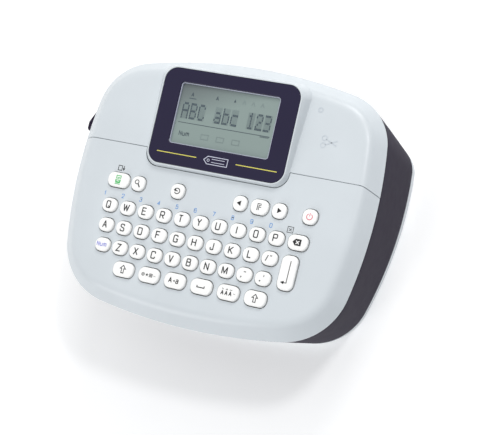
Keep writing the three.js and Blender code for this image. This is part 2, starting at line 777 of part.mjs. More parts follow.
const addDrive = () => {
  const roller = drum(PLATEN_X, PLATEN_Y, PLATEN_RADIUS, BAY_Z + 2 * ROOM, PLATE_Z - ROOM, FINE)
    .add(drum(PLATEN_X, PLATEN_Y, SHAFT_RADIUS, BAY_Z + ROOM, GEAR_TOP))
    .add(gear(PLATEN_X, PLATEN_Y, GEAR_TEETH, Math.PI / GEAR_TEETH, GEAR_Z, GEAR_TOP));
  add("platen_roller", roller, RUBBER_BLACK);
  const shaftTop = MOTOR_Z + MOTOR_SHAFT_DEPTH;
  const pinion = gear(MOTOR_X, PLATEN_Y, PINION_TEETH, 0, GEAR_Z, GEAR_TOP).add(
    drum(MOTOR_X, PLATEN_Y, MOTOR_SHAFT_RADIUS, GEAR_Z, shaftTop),
  );
  add("motor_pinion", pinion, BRASS);
  const ears = box(
    MOTOR_X - POST_RADIUS,
    MOTOR_X + POST_RADIUS,
    PLATEN_Y - EAR_REACH - POST_RADIUS,
    PLATEN_Y + EAR_REACH + POST_RADIUS,
    MOTOR_Z,
    MOTOR_Z + EAR_THICKNESS,
  );
  const bore = drum(
    MOTOR_X,
    PLATEN_Y,
    MOTOR_SHAFT_RADIUS + CLEAR,
    MOTOR_Z - ROOM,
    shaftTop + CLEAR,
  );
  const motor = drum(MOTOR_X, PLATEN_Y, MOTOR_RADIUS, MOTOR_Z, MOTOR_Z + MOTOR_LENGTH, FINE)
    .add(ears)
    .subtract(bore);
  add("drive_motor", motor, STEEL);
};

const addCutter = () => {
  const flangeLow = CUTTER_LOW_Z - CLEAR;
  const flangeHigh = CUTTER_HIGH_Z + CUTTER_FLANGE / 2;
  const insideWall = [flangeLow, flangeHigh].map((z) =>
    halfWidthAt(CUTTER_ARM_Y + CUTTER_ARM, z, WALL),
  );
  const flangeX = CLEAR - Math.min(...insideWall);
  const upper = CUTTER_Y + CUTTER_LENGTH;
  const outer = -HALF_WIDTH - CUTTER_PROUD;
  const nose = [
    [flangeX, CUTTER_Y],
    [flangeX, upper],
    [-HALF_WIDTH - SEAM, upper],
    [outer, upper - CUTTER_SLOPE],
    [outer + CUTTER_NOSE * (1 - Math.SQRT1_2), CUTTER_Y + CUTTER_NOSE * (1 - Math.SQRT1_2)],
    [outer + CUTTER_NOSE, CUTTER_Y],
  ].map(([x, y]) => new THREE.Vector2(x, y));
  const flange = box(
    flangeX,
    flangeX + CUTTER_FLANGE,
    CUTTER_Y - CUTTER_FLANGE,
    CUTTER_ARM_Y,
    flangeLow,
    flangeHigh,
  );
  const arm = box(
    flangeX,
    CUTTER_BLADE_X,
    CUTTER_ARM_Y,
    CUTTER_ARM_Y + CUTTER_ARM,
    CUTTER_ARM_Z,
    CUTTER_ARM_Z + CUTTER_ARM,
  );
  const foot = box(
    flangeX,
    flangeX + CUTTER_FLANGE,
    CUTTER_ARM_Y - CUTTER_FLANGE,
    CUTTER_ARM_Y + CUTTER_ARM,
    CUTTER_ARM_Z,
    CUTTER_ARM_Z + CUTTER_ARM,
  );
  const bladeHolder = box(
    CUTTER_BLADE_X - CUTTER_ARM,
    CUTTER_BLADE_X,
    CUTTER_ARM_Y,
    CUTTER_ARM_Y + CUTTER_ARM,
    BAY_Z + 2 * ROOM,
    CUTTER_ARM_Z + CUTTER_ARM,
  );
  const cutter = prism(nose, CUTTER_LOW_Z, CUTTER_HIGH_Z)
    .add(flange)
    .add(foot)
    .add(arm)
    .add(bladeHolder);
  add("cutter_button", cutter, CASE_CHARCOAL);
};

const addCells = () => {
  const pitch = CELL_DIAMETER - CELL_JOIN;
  const topY = PARTITION_Y - PARTITION_THICKNESS - ROOM - CELL_DIAMETER / 2;
  const z = BAY_Z + CELL_DIAMETER / 2;
  const lying = (length, radius, x, y) =>
    solid(
      new THREE.CylinderGeometry(radius, radius, length, COARSE)
        .rotateZ(-Math.PI / 2)
        .translate(x + length / 2, y, z),
    );
  const span = CELL_LENGTH * CELL_COLUMNS + NUB_LENGTH;
  const parts = [];
  for (let column = 0; column < CELL_COLUMNS; column++)
    for (let row = 0; row < CELL_ROWS; row++) {
      const x = -span / 2 + column * CELL_LENGTH;
      const y = topY - row * pitch;
      parts.push(lying(CELL_LENGTH, CELL_DIAMETER / 2, x, y));
      if (column === CELL_COLUMNS - 1) parts.push(lying(CELL_LENGTH + NUB_LENGTH, NUB_RADIUS, x, y));
    }
  add("battery_cells", parts.reduce((a, b) => a.add(b)), CELL_JACKET);
};

addFront();
addDisplay();
keys.forEach((key) => add(key.name, keyBody(key), KEY_WHITE));
addBody();
addBackCover();
addElectronics();
addTapeAndHead();
addDrive();
addCutter();
addCells();

export default group;
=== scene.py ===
import math

import bmesh
import bpy
import numpy as np
from mathutils import Matrix, Vector
from mathutils.geometry import tessellate_polygon


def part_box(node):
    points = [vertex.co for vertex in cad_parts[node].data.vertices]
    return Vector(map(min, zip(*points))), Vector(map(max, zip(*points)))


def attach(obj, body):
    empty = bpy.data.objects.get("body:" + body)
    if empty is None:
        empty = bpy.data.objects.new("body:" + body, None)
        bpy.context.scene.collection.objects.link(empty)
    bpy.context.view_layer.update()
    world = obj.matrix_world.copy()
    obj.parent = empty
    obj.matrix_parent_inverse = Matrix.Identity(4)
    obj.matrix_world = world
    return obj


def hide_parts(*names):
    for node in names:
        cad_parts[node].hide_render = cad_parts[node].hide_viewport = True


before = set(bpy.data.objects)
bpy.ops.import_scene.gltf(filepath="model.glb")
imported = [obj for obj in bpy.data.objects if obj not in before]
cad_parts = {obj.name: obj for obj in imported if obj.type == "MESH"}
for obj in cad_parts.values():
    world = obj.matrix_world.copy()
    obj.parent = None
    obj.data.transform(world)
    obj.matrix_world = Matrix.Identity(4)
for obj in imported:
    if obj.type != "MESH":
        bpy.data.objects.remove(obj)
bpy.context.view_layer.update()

MM = 0.001


# ---------------------------------------------------------------- sizes, from the frame

def node_box(name):
    low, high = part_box(name)
    return np.array(low) / MM, np.array(high) / MM


WALL = 2.2
SEAM = 0.3  # open line between two mouldings
CLEAR = 0.3  # room between parts that do not touch
KEY_FLANGE = 0.45  # the foot of a key is this much wider than its cap
KEY_FLANGE_THICKNESS = 1.0
KEY_CORNER = 2.6
EDGE_RUN = 6.0  # width of the slope round the face
TAPER_TOP = 5.5  # the back is this much shorter at the top
TAPER_BOTTOM = 5.1  # and at the bottom
BACK_ROUND = 1.2
SEAM_DIP = 2.7  # how far the seam drops on the slope
SHARP_ANGLE = 32.0  # edges that turn by more degrees stay sharp
LEDGE_WIDTH = 2.4
LEDGE_THICKNESS = 2.0
LIP_THICKNESS = 1.2

PANEL_LOW, PANEL_HIGH = node_box("keyboard_panel")
SHELL_LOW, SHELL_HIGH = node_box("body_shell")
BACK_HIGH = node_box("back_cover")[1]
BEZEL_LOW, BEZEL_HIGH = node_box("display_bezel")
CUTTER_LOW, CUTTER_HIGH = node_box("cutter_button")

FACE_Z = PANEL_HIGH[2]
EDGE_Z = PANEL_LOW[2]
SEAM_Y = PANEL_HIGH[1]
BACK_RIM = SHELL_LOW[2] - SEAM

FRONT = dict(half=SHELL_HIGH[0], up=SHELL_HIGH[1], down=-SHELL_LOW[1], flank_y=5.8, top_arc=222.0,
             bottom_arc=240.0, flank_arc=193.0, upper_corner=23.4, lower_corner=27.7)
BACK = dict(FRONT, up=FRONT["up"] - TAPER_TOP, down=FRONT["down"] - TAPER_BOTTOM, flank_y=20.0,
            flank_arc=175.0, upper_corner=12.0, lower_corner=25.0)


# ---------------------------------------------------------------- outlines

def corner_centre(c1, r1, c2, r2):
    """Centre of a corner arc that touches both larger arcs from inside, on the right-hand side."""
    between = c2 - c1
    distance = np.hypot(*between)
    along = (r1 * r1 - r2 * r2 + distance * distance) / (2 * distance)
    aside = math.sqrt(r1 * r1 - along * along)
    unit = between / distance
    normal = np.array([-unit[1], unit[0]])
    return max((c1 + unit * along + normal * s for s in (aside, -aside)), key=lambda p: p[0])


def arc(centre, radius, start, end, steps):
    angles = start + (end - start) * np.arange(steps) / steps
    return centre + radius * np.stack([np.cos(angles), np.sin(angles)], axis=1)


ARC_STEPS = (22, 26, 26, 26, 22)


def case_outline(z, inset=0.0):
    """The case outline at height z, moved in by inset, anticlockwise from the middle of the lower edge."""
    share = min(max(z / EDGE_Z, 0.0), 1.0)
    size = {k: BACK[k] + (FRONT[k] - BACK[k]) * share - (0 if k == "flank_y" else inset) for k in FRONT}
    flank = np.array([size["half"] - size["flank_arc"], size["flank_y"]])
    top = np.array([0.0, size["up"] - size["top_arc"]])
    bottom = np.array([0.0, size["bottom_arc"] - size["down"]])
    upper = corner_centre(flank, size["flank_arc"] - size["upper_corner"],
                          top, size["top_arc"] - size["upper_corner"])
    lower = corner_centre(flank, size["flank_arc"] - size["lower_corner"],
                          bottom, size["bottom_arc"] - size["lower_corner"])

    def heading(a, b):
        return math.atan2(b[1] - a[1], b[0] - a[0])

    turns = [-math.pi / 2, heading(bottom, lower), heading(flank, lower), heading(flank, upper),
             heading(top, upper), math.pi / 2]
    arcs = [(bottom, size["bottom_arc"]), (lower, size["lower_corner"]), (flank, size["flank_arc"]),
            (upper, size["upper_corner"]), (top, size["top_arc"])]
    right = np.vstack([arc(c, r, turns[i], turns[i + 1], ARC_STEPS[i]) for i, (c, r) in enumerate(arcs)])
    crown = np.array([[0.0, size["up"]]])
    left = right[1:][::-1] * [-1, 1]
    return np.vstack([right, crown, left])


def rounded_rect(x0, x1, y0, y1, radius, steps=8):
    r = min(radius, (x1 - x0) / 2 - 0.01, (y1 - y0) / 2 - 0.01)
    centres = [(x1 - r, y0 + r), (x1 - r, y1 - r), (x0 + r, y1 - r), (x0 + r, y0 + r)]
    points = []
    for k, (cx, cy) in enumerate(centres):
        for i in range(steps + 1):
            angle = (k - 1 + i / steps) * math.pi / 2
            points.append((cx + r * math.cos(angle), cy + r * math.sin(angle)))
    return np.array(points)


def at_height(points, z):
    return np.column_stack([points, np.full(len(points), z)])


def quarter(steps, radius):
    """Offsets (in, down) of a rounded edge from the side, at depth radius, to the top."""
    return [(radius * (1 - math.cos(a)), radius * (1 - math.sin(a)))
            for a in np.linspace(0, math.pi / 2, steps + 1)]


# ---------------------------------------------------------------- meshes

def new_object(name, data):
    obj = bpy.data.objects.new(name, data)
    bpy.context.scene.collection.objects.link(obj)
    return obj


def face_outwards(mesh, merge=0.0):
    """Turns a closed mesh's faces outwards, after joining points that are closer than merge metres."""
    work = bmesh.new()
    work.from_mesh(mesh)
    if merge:
        bmesh.ops.remove_doubles(work, verts=work.verts, dist=merge)
    bmesh.ops.recalc_face_normals(work, faces=work.faces)
    work.to_mesh(mesh)
    work.free()


def make_object(name, verts, faces, smooth=True):
    """An object from points in millimetres."""
    mesh = bpy.data.meshes.new(name)
    mesh.from_pydata((np.asarray(verts, float) * MM).tolist(), [], [list(map(int, f)) for f in faces])
    face_outwards(mesh)
    obj = new_object(name, mesh)
    if smooth:
        shade(obj)
    return obj


def shade(obj):
    obj.data.polygons.foreach_set("use_smooth", [True] * len(obj.data.polygons))
    obj.data.set_sharp_from_angle(angle=math.radians(SHARP_ANGLE))


def loft_data(rings, capped=True):
    """Points and faces of a skin over rings of equal point count, closed at both ends."""
    count = len(rings[0])
    verts = np.vstack(rings)
    faces = []
    for r in range(len(rings) - 1):
        a = r * count + np.arange(count)
        b = r * count + (np.arange(count) + 1) % count
        faces += np.stack([a, b, b + count, a + count], axis=1).tolist()
    if capped:
        faces.append(list(range(count))[::-1])
        faces.append([(len(rings) - 1) * count + i for i in range(count)])
    return verts, faces


def loft(name, rings):
    return make_object(name, *loft_data(rings))


def case_loft(name, levels):
    return loft(name, [at_height(case_outline(z, inset), z) for z, inset in levels])


def prism(name, points, z0, z1):
    return loft(name, [at_height(points, z0), at_height(points, z1)])


def block(name, low, high):
    points = np.array([(low[0], low[1]), (high[0], low[1]), (high[0], high[1]), (low[0], high[1])])
    return prism(name, points, low[2], high[2])


def circle(x, y, radius, steps=32):
    angles = np.arange(steps) * 2 * math.pi / steps
    return np.array([x, y]) + radius * np.stack([np.cos(angles), np.sin(angles)], axis=1)


def drum(name, x, y, radius, z0, z1, steps=32):
    return prism(name, circle(x, y, radius, steps), z0, z1)


def joined(name, parts):
    """One object from several separate closed ones, which are used up."""
    verts, faces = [], []
    for part in parts:
        base = len(verts)
        matrix = part.matrix_world
        verts += [tuple((matrix @ v.co) / MM) for v in part.data.vertices]
        faces += [[base + i for i in p.vertices] for p in part.data.polygons]
        bpy.data.objects.remove(part)
    return make_object(name, verts, faces)


def settled(obj):
    """Applies the object's modifiers to its mesh."""
    bpy.context.view_layer.update()
    evaluated = obj.evaluated_get(bpy.context.evaluated_depsgraph_get())
    mesh = bpy.data.meshes.new_from_object(evaluated)
    obj.modifiers.clear()
    obj.data = mesh
    return obj


def combine(obj, tool, operation="DIFFERENCE"):
    """A boolean with another closed object, which is used up."""
    modifier = obj.modifiers.new("combine", "BOOLEAN")
    modifier.operation = operation
    modifier.object = tool
    modifier.solver = "EXACT"
    settled(obj)
    bpy.data.objects.remove(tool)
    return obj


def soften(obj, width, segments=2, angle=40.0):
    """Rounds the sharp edges by width millimetres."""
    bevel = obj.modifiers.new("soften", "BEVEL")
    bevel.width = width * MM
    bevel.segments = segments
    bevel.limit_method = "ANGLE"
    bevel.angle_limit = math.radians(angle)
    bevel.use_clamp_overlap = True
    bevel.harden_normals = False
    settled(obj)
    shade(obj)
    return obj


def weigh_normals(obj):
    modifier = obj.modifiers.new("weighted", "WEIGHTED_NORMAL")
    modifier.keep_sharp = True
    modifier.weight = 100
    return obj


def place(obj, body, slot, material, *nodes):
    """Rides obj on a body, gives it its finish, and hides the CAD nodes it stands for."""
    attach(obj, body)
    obj.data.materials.clear()
    obj.data.materials.append(material)
    if nodes:
        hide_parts(*nodes)
    return obj


def finish_shell(obj, name, body, slot, material, *nodes):
    """Names a moulding, smooths it and places it."""
    obj.name = name
    shade(obj)
    weigh_normals(obj)
    place(obj, body, slot, material, *nodes)


# ---------------------------------------------------------------- materials

def nodes_of(name):
    material = bpy.data.materials.new(name)
    material.use_nodes = True
    tree = material.node_tree
    return material, tree, tree.nodes["Principled BSDF"]


def link(tree, a, b):
    tree.links.new(a, b)


def noise(tree, scale, detail=2.0):
    where = tree.nodes.new("ShaderNodeTexCoord")
    node = tree.nodes.new("ShaderNodeTexNoise")
    node.inputs["Scale"].default_value = scale
    node.inputs["Detail"].default_value = detail
    link(tree, where.outputs["Object"], node.inputs["Vector"])
    return node.outputs["Fac"]


def ramp(tree, value, stops):
    node = tree.nodes.new("ShaderNodeValToRGB")
    for element, (position, color) in zip(node.color_ramp.elements, stops):
        element.position = position
        element.color = (*color, 1)
    link(tree, value, node.inputs["Fac"])
    return node.outputs["Color"]


def to_range(tree, value, low, high):
    node = tree.nodes.new("ShaderNodeMapRange")
    node.inputs["To Min"].default_value = low
    node.inputs["To Max"].default_value = high
    link(tree, value, node.inputs["Value"])
    return node.outputs["Result"]


def bump(tree, shader, value, strength, distance):
    node = tree.nodes.new("ShaderNodeBump")
    node.inputs["Strength"].default_value = strength
    node.inputs["Distance"].default_value = distance
    link(tree, value, node.inputs["Height"])
    link(tree, node.outputs["Normal"], shader.inputs["Normal"])


def srgb(r, g, b):
    """Linear colour from eight-bit display values."""
    return tuple(((c / 255 + 0.055) / 1.055) ** 2.4 if c > 10 else c / 255 / 12.92 for c in (r, g, b))


def plastic(name, color, rough=(0.35, 0.5), spread=0.03, grain=0.0, grain_scale=4500.0, shine=0.5):
    """Moulded plastic: slight colour drift, uneven sheen and a fine tool texture."""
    material, tree, shader = nodes_of(name)
    light = tuple(min(c * (1 + spread), 1.0) for c in color)
    dark = tuple(c * (1 - spread) for c in color)
    link(tree, ramp(tree, noise(tree, 45.0, 3.0), [(0.35, dark), (0.65, light)]), shader.inputs["Base Color"])
    link(tree, to_range(tree, noise(tree, 260.0, 4.0), *rough), shader.inputs["Roughness"])
    shader.inputs["IOR"].default_value = 1.5
    shader.inputs["Specular IOR Level"].default_value = shine
    if grain:
        bump(tree, shader, noise(tree, grain_scale, 2.0), grain, 0.00008)
    return material


def ink(name, color, rough=0.5):
    """Printed or painted marking with slightly uneven cover."""
    return plastic(name, color, (rough - 0.08, rough + 0.08), 0.08)


def metal(name, color, rough=(0.25, 0.4), scale=900.0):
    """Brushed metal: stretched noise in roughness and bump."""
    material, tree, shader = nodes_of(name)
    shader.inputs["Metallic"].default_value = 1.0
    where = tree.nodes.new("ShaderNodeTexCoord")
    stretch = tree.nodes.new("ShaderNodeMapping")
    stretch.inputs["Scale"].default_value = (1.0, 14.0, 1.0)
    lines = tree.nodes.new("ShaderNodeTexNoise")
    lines.inputs["Scale"].default_value = scale
    link(tree, where.outputs["Object"], stretch.inputs["Vector"])
    link(tree, stretch.outputs["Vector"], lines.inputs["Vector"])
    dark = tuple(c * 0.85 for c in color)
    link(tree, ramp(tree, lines.outputs["Fac"], [(0.3, dark), (0.7, color)]), shader.inputs["Base Color"])
    link(tree, to_range(tree, lines.outputs["Fac"], *rough), shader.inputs["Roughness"])
    bump(tree, shader, lines.outputs["Fac"], 0.2, 0.00002)
    return material


PANEL_GREY = plastic("panel_grey", srgb(205, 211, 215), (0.3, 0.4), 0.015, 0.12, 5200.0)
CHARCOAL = plastic("charcoal", srgb(42, 36, 52), (0.5, 0.6), 0.03, 0.1, 3600.0, shine=0.05)
NAVY = plastic("display_navy", srgb(30, 25, 54), (0.16, 0.24), 0.03, shine=0.36)
# Darker than the panel: painted shade standing in for the relief of the moulded signs.
RELIEF_PAINTED_SHADE = plastic("relief_painted_shade", srgb(194, 201, 207), (0.4, 0.5), 0.02)
KEY_WHITE = plastic("key_white", srgb(247, 246, 244), (0.36, 0.48), 0.012, 0.08, 5200.0)
KEY_INK = ink("key_ink", srgb(24, 24, 26))
GREEN_INK = ink("green_ink", srgb(70, 185, 100))
RED_INK = ink("red_ink", srgb(214, 84, 104))
BLUE_INK = ink("blue_ink", srgb(104, 150, 205))
VIOLET_INK = ink("violet_ink", srgb(128, 132, 214))
YELLOW_INK = ink("yellow_ink", srgb(214, 206, 96))
PALE_INK = ink("pale_ink", srgb(196, 198, 214))
LCD_INK = ink("lcd_ink", srgb(66, 79, 87), 0.35)
LCD_FAINT = ink("lcd_faint", srgb(116, 130, 129), 0.35)
FRAME_GREY = plastic("window_frame_grey", srgb(176, 180, 196), (0.2, 0.3), 0.03)
BOARD_GREEN = plastic("board_green", srgb(34, 92, 60), (0.25, 0.4), 0.12, 0.1, 900.0)
RUBBER_GREY = plastic("rubber_grey", srgb(120, 122, 126), (0.7, 0.85), 0.05, 0.3, 2600.0)
RUBBER_BLACK = plastic("rubber_black", srgb(34, 34, 36), (0.7, 0.9), 0.1, 0.4, 2200.0)
CASSETTE_BLACK = plastic("cassette_black", srgb(44, 44, 48), (0.3, 0.45), 0.06, 0.2, 3000.0)
CELL_BLUE = plastic("cell_jacket", srgb(52, 88, 136), (0.2, 0.3), 0.05)
CELL_BAND = plastic("cell_band", srgb(206, 206, 210), (0.2, 0.3), 0.05)
STEEL = metal("steel", srgb(190, 192, 196))
BRASS = metal("brass", srgb(200, 168, 96))


def lcd_material():
    """Display glass: grey-green, with painted shade from the bezel growing towards the upper left."""
    material, tree, shader = nodes_of("lcd_glass")
    where = tree.nodes.new("ShaderNodeTexCoord")
    split = tree.nodes.new("ShaderNodeSeparateXYZ")
    link(tree, where.outputs["Generated"], split.inputs["Vector"])
    along = to_range(tree, split.outputs["X"], 0.4, 0.0)
    shadow = tree.nodes.new("ShaderNodeMath")
    shadow.operation = "MULTIPLY_ADD"
    shadow.inputs[1].default_value = 0.6
    link(tree, split.outputs["Y"], shadow.inputs[0])
    link(tree, along, shadow.inputs[2])
    # The darker end of the ramp is painted shade: the bezel's shadow on the glass, towards the upper left.
    color = ramp(tree, shadow.outputs["Value"], [(0.58, srgb(133, 148, 144)), (1.0, srgb(80, 85, 89))])
    link(tree, color, shader.inputs["Base Color"])
    link(tree, to_range(tree, noise(tree, 300.0), 0.16, 0.24), shader.inputs["Roughness"])
    shader.inputs["Coat Weight"].default_value = 0.4
    return material


LCD_GLASS = lcd_material()


# ---------------------------------------------------------------- flat markings

def resampled(points, closed, step=0.5):
    """The same line with no piece longer than step."""
    ends = np.roll(points, -1, axis=0) if closed else points[1:]
    out = []
    for a, b in zip(points, ends):
        pieces = max(1, math.ceil(np.hypot(*(b - a)) / step))
        out += [a + (b - a) * k / pieces for k in range(pieces)]
    return np.array(out if closed else out + [points[-1]])


def rounded_line(points, closed):
    """The line with its corners cut three times, which makes it smooth."""
    for _ in range(3):
        ends = np.roll(points, -1, axis=0) if closed else points[1:]
        starts = points if closed else points[:-1]
        cuts = np.stack([starts * 0.75 + ends * 0.25, starts * 0.25 + ends * 0.75], axis=1).reshape(-1, 2)
        points = cuts if closed else np.vstack([points[:1], cuts[1:-1], points[-1:]])
    return points


# Letters and digits as lines in a unit box. Lines that start with ~ are curved, with o closed and curved.
BOWL = "0,1 .6,1 1,1 1,.46 .6,.46 0,.46"
GLYPHS = {
    "A": "0,0 .5,1 1,0 | .17,.33 .83,.33",
    "B": "0,0 0,1 | ~0,1 .55,1 .93,1 .93,.54 .55,.54 0,.54 | ~0,.54 .6,.54 1,.54 1,0 .6,0 0,0",
    "C": "~1,.74 .93,1 .5,1 0,1 0,.5 0,0 .5,0 .93,0 1,.26",
    "D": "0,0 0,1 | ~0,1 .45,1 1,1 1,.5 1,0 .45,0 0,0",
    "E": ".95,1 0,1 0,0 1,0 | 0,.53 .88,.53",
    "F": ".95,1 0,1 0,0 | 0,.5 .85,.5",
    "G": "~1,.76 .92,1 .5,1 0,1 0,.5 0,0 .5,0 .9,0 1,.25 | 1,0 1,.46 .55,.46",
    "H": "0,0 0,1 | 1,0 1,1 | 0,.52 1,.52",
    "I": "0,0 0,1",
    "J": "~.9,1 .9,.6 .9,.3 .9,0 .45,0 0,0 0,.32",
    "K": "0,0 0,1 | 1,1 0,.38 | .3,.56 1,0",
    "L": "0,1 0,0 .95,0",
    "M": "0,0 0,1 .5,.12 1,1 1,0",
    "N": "0,0 0,1 1,0 1,1",
    "O": "o.5,1 1,1 1,.5 1,0 .5,0 0,0 0,.5 0,1",
    "P": "0,0 0,1 | ~" + BOWL,
    "Q": "o.5,1 1,1 1,.5 1,0 .5,0 0,0 0,.5 0,1 | .58,.28 1,-.04",
    "R": "0,0 0,1 | .5,.46 1,0 | ~" + BOWL,
    "S": "~.96,.76 .9,1 .5,1 .04,1 .04,.6 .4,.54 .62,.48 1,.42 1,0 .5,0 .05,0 0,.27",
    "T": "0,1 1,1 | .5,1 .5,0",
    "U": "0,1 0,.45 | ~0,.45 0,0 .5,0 1,0 1,.45 | 1,.45 1,1",
    "V": "0,1 .5,0 1,1",
    "W": "0,1 .25,0 .5,.9 .75,0 1,1",
    "X": "0,0 1,1 | 0,1 1,0",
    "Y": "0,1 .5,.48 1,1 | .5,.48 .5,0",
    "Z": "0,1 1,1 0,0 1,0",
    "a": "~.05,.6 .2,.74 .5,.74 .95,.74 .95,.4 | .95,.5 .95,0 | ~.95,.42 .4,.46 0,.42 0,0 .45,0 .8,0 .95,.22",
    "m": "0,0 0,.72 | ~0,.45 .1,.74 .5,.76 .5,.4 | .5,.45 .5,0 | ~.5,.45 .6,.74 1,.76 1,.4 | 1,.45 1,0",
    "u": "~0,.72 0,.3 0,0 .5,0 .9,0 1,.3 | 1,.72 1,0",
    "1": ".1,.75 .55,1 .55,0",
    "2": "~0,.72 .05,1 .5,1 1,1 1,.6 .6,.35 0,0 | 0,0 1,0",
    "3": "~0,.78 .1,1 .5,1 .95,1 .95,.55 .4,.54 | ~.4,.54 1,.56 1,0 .5,0 .08,0 0,.24",
    "4": ".78,0 .78,1 0,.28 1,.28",
    "5": ".92,1 .15,1 .05,.5 | ~.05,.5 .3,.64 1,.68 1,0 .5,0 .08,0 0,.22",
    "6": "~.92,.8 .85,1 .5,1 0,1 0,.45 0,0 .5,0 1,0 1,.32 1,.6 .5,.6 .08,.6 0,.36",
    "7": "0,1 1,1 .38,0",
    "8": "o.5,1 .92,1 .92,.54 .5,.54 .08,.54 .08,1 | o.5,.54 1,.54 1,0 .5,0 0,0 0,.54",
    "9": "~.08,.2 .15,0 .5,0 1,0 1,.55 1,1 .5,1 0,1 0,.68 0,.4 .5,.4 .92,.4 1,.64",
    "0": "o.5,1 1,1 1,.5 1,0 .5,0 0,0 0,.5 0,1",
}
WIDTHS = {"I": 0.0, "M": 0.74, "W": 0.86, "J": 0.48, "L": 0.52, "m": 0.72, "a": 0.46, "u": 0.48, "1": 0.4}


def glyph(character):
    """The lines of a letter, each with whether it is closed."""
    for line in GLYPHS[character].split("|"):
        line = line.strip()
        closed = line.startswith("o")
        points = np.array([[float(v) for v in pair.split(",")] for pair in line.lstrip("o~").split()])
        yield (rounded_line(points, closed) if line[0] in "o~" else points), closed


class Marking:
    """Thin printed shapes on a surface: polygons, strokes and letters, in millimetres."""

    def __init__(self, origin=(0.0, 0.0)):
        self.verts = []
        self.faces = []
        self.origin = np.array(origin, float)

    def polygon(self, outer, *holes):
        loops = [[Vector((x, y, 0)) for x, y in np.asarray(loop) + self.origin] for loop in (outer, *holes)]
        base = len(self.verts)
        self.verts += [tuple(p.to_2d()) for loop in loops for p in loop]
        self.faces += [[base + i for i in tri] for tri in tessellate_polygon(loops)]

    def stroke(self, points, width, closed=False):
        """A line of even width with mitred corners, in short pieces so that it can follow a domed surface."""
        p = resampled(np.asarray(points, float), closed)
        count = len(p)
        left, right = [], []
        for i in range(count):
            before = p[(i - 1) % count] if closed or i > 0 else 2 * p[0] - p[1]
            after = p[(i + 1) % count] if closed or i < count - 1 else 2 * p[-1] - p[-2]
            d1 = (p[i] - before) / np.hypot(*(p[i] - before))
            d2 = (after - p[i]) / np.hypot(*(after - p[i]))
            n1 = np.array([-d1[1], d1[0]])
            n2 = np.array([-d2[1], d2[0]])
            mitre = (n1 + n2) / max(1 + n1 @ n2, 0.35)
            left.append(p[i] + mitre * width / 2)
            right.append(p[i] - mitre * width / 2)
        base = len(self.verts)
        self.verts += [tuple(q + self.origin) for q in left + right]
        last = count if closed else count - 1
        for i in range(last):
            j = (i + 1) % count
            self.faces.append([base + i, base + count + i, base + count + j, base + j])

    def disc(self, x, y, radius, steps=20):
        self.polygon(circle(x, y, radius, steps))

    def ring(self, x, y, radius, width, start=0.0, end=360.0, steps=28):
        angles = np.radians(np.linspace(start, end, steps))
        points = np.array([x, y]) + radius * np.stack([np.cos(angles), np.sin(angles)], axis=1)
        if end - start >= 360.0:
            self.stroke(points[:-1], width, closed=True)
        else:
            self.stroke(points, width)

    def rectangle(self, x0, y0, x1, y1):
        self.polygon([(x0, y0), (x1, y0), (x1, y1), (x0, y1)])

    def box(self, x0, y0, x1, y1, width):
        """The outline of a rectangle."""
        self.stroke([(x0, y0), (x1, y0), (x1, y1), (x0, y1)], width, closed=True)

    def text(self, body, x, y, height, weight):
        """Letters of that height, drawn with a line of that weight and centred on x, y."""
        tall = height - weight
        widths = [tall * WIDTHS.get(c, 0.6) for c in body]
        gap = weight * 2.0
        at = x - (sum(widths) + gap * (len(body) - 1)) / 2
        for character, width in zip(body, widths):
            for points, closed in glyph(character):
                self.stroke(points * [width, tall] + [at, y - tall / 2], weight, closed)
            at += width + gap

    def made(self, name, height_at, thickness=0.03):
        """The marking as a thin solid lying on the surface z = height_at(x, y)."""
        mesh = bpy.data.meshes.new(name)
        mesh.from_pydata([(x * MM, y * MM, height_at(x, y) * MM) for x, y in self.verts], [], self.faces)
        work = bmesh.new()
        work.from_mesh(mesh)
        bmesh.ops.recalc_face_normals(work, faces=work.faces)
        for face in work.faces:
            if face.normal.z < 0:
                face.normal_flip()
        moved = bmesh.ops.extrude_face_region(work, geom=list(work.faces))
        top = [g for g in moved["geom"] if isinstance(g, bmesh.types.BMVert)]
        bmesh.ops.translate(work, verts=top, vec=(0, 0, thickness * MM))
        bmesh.ops.recalc_face_normals(work, faces=work.faces)
        work.to_mesh(mesh)
        work.free()
        return new_object(name, mesh)


# ---------------------------------------------------------------- camera, light and floor

# The camera looks at a point of the face, and its roll makes the keyboard's rows run down to the right.
CAMERA_LENS = 91.98
CAMERA_AIM = Vector((17.7, -6.8, FACE_Z))
CAMERA_DISTANCE = 517.9
CAMERA_AZIMUTH = -20.52
CAMERA_ELEVATION = 68.31
CAMERA_ROLL = -56.87


def add_camera():
    data = bpy.data.cameras.new("camera")
    data.lens = CAMERA_LENS
    data.sensor_width = 36.0
    data.clip_start = 0.01
    data.clip_end = 20.0
    camera = new_object("camera", data)
    azimuth, elevation, roll = map(math.radians, (CAMERA_AZIMUTH, CAMERA_ELEVATION, CAMERA_ROLL))
    turn = (Matrix.Rotation(azimuth + math.pi / 2, 4, "Z") @ Matrix.Rotation(math.pi / 2 - elevation, 4, "X")
            @ Matrix.Rotation(roll, 4, "Z"))
    eye = CAMERA_AIM + turn.col[2].to_3d() * CAMERA_DISTANCE
    camera.matrix_world = Matrix.Translation(eye * MM) @ turn
    bpy.context.scene.camera = camera


def add_area(name, where, size, power, color=(1, 1, 1), aim=(0, 0, 0.03)):
    data = bpy.data.lights.new(name, "AREA")
    data.shape = "DISK"
    data.size = size
    data.energy = power
    data.color = color
    light = new_object(name, data)
    light.location = where
    light.rotation_euler = (Vector(aim) - Vector(where)).to_track_quat("-Z", "Y").to_euler()


def floor_paint():
    """Matt white paint that glows a little, so that the floor stays paler than the object."""
    material = plastic("floor_paint", (0.93, 0.93, 0.93), (0.7, 0.8), 0.004)
    shader = material.node_tree.nodes["Principled BSDF"]
    shader.inputs["Emission Color"].default_value = (1, 1, 1, 1)
    shader.inputs["Emission Strength"].default_value = 0.2
    return material


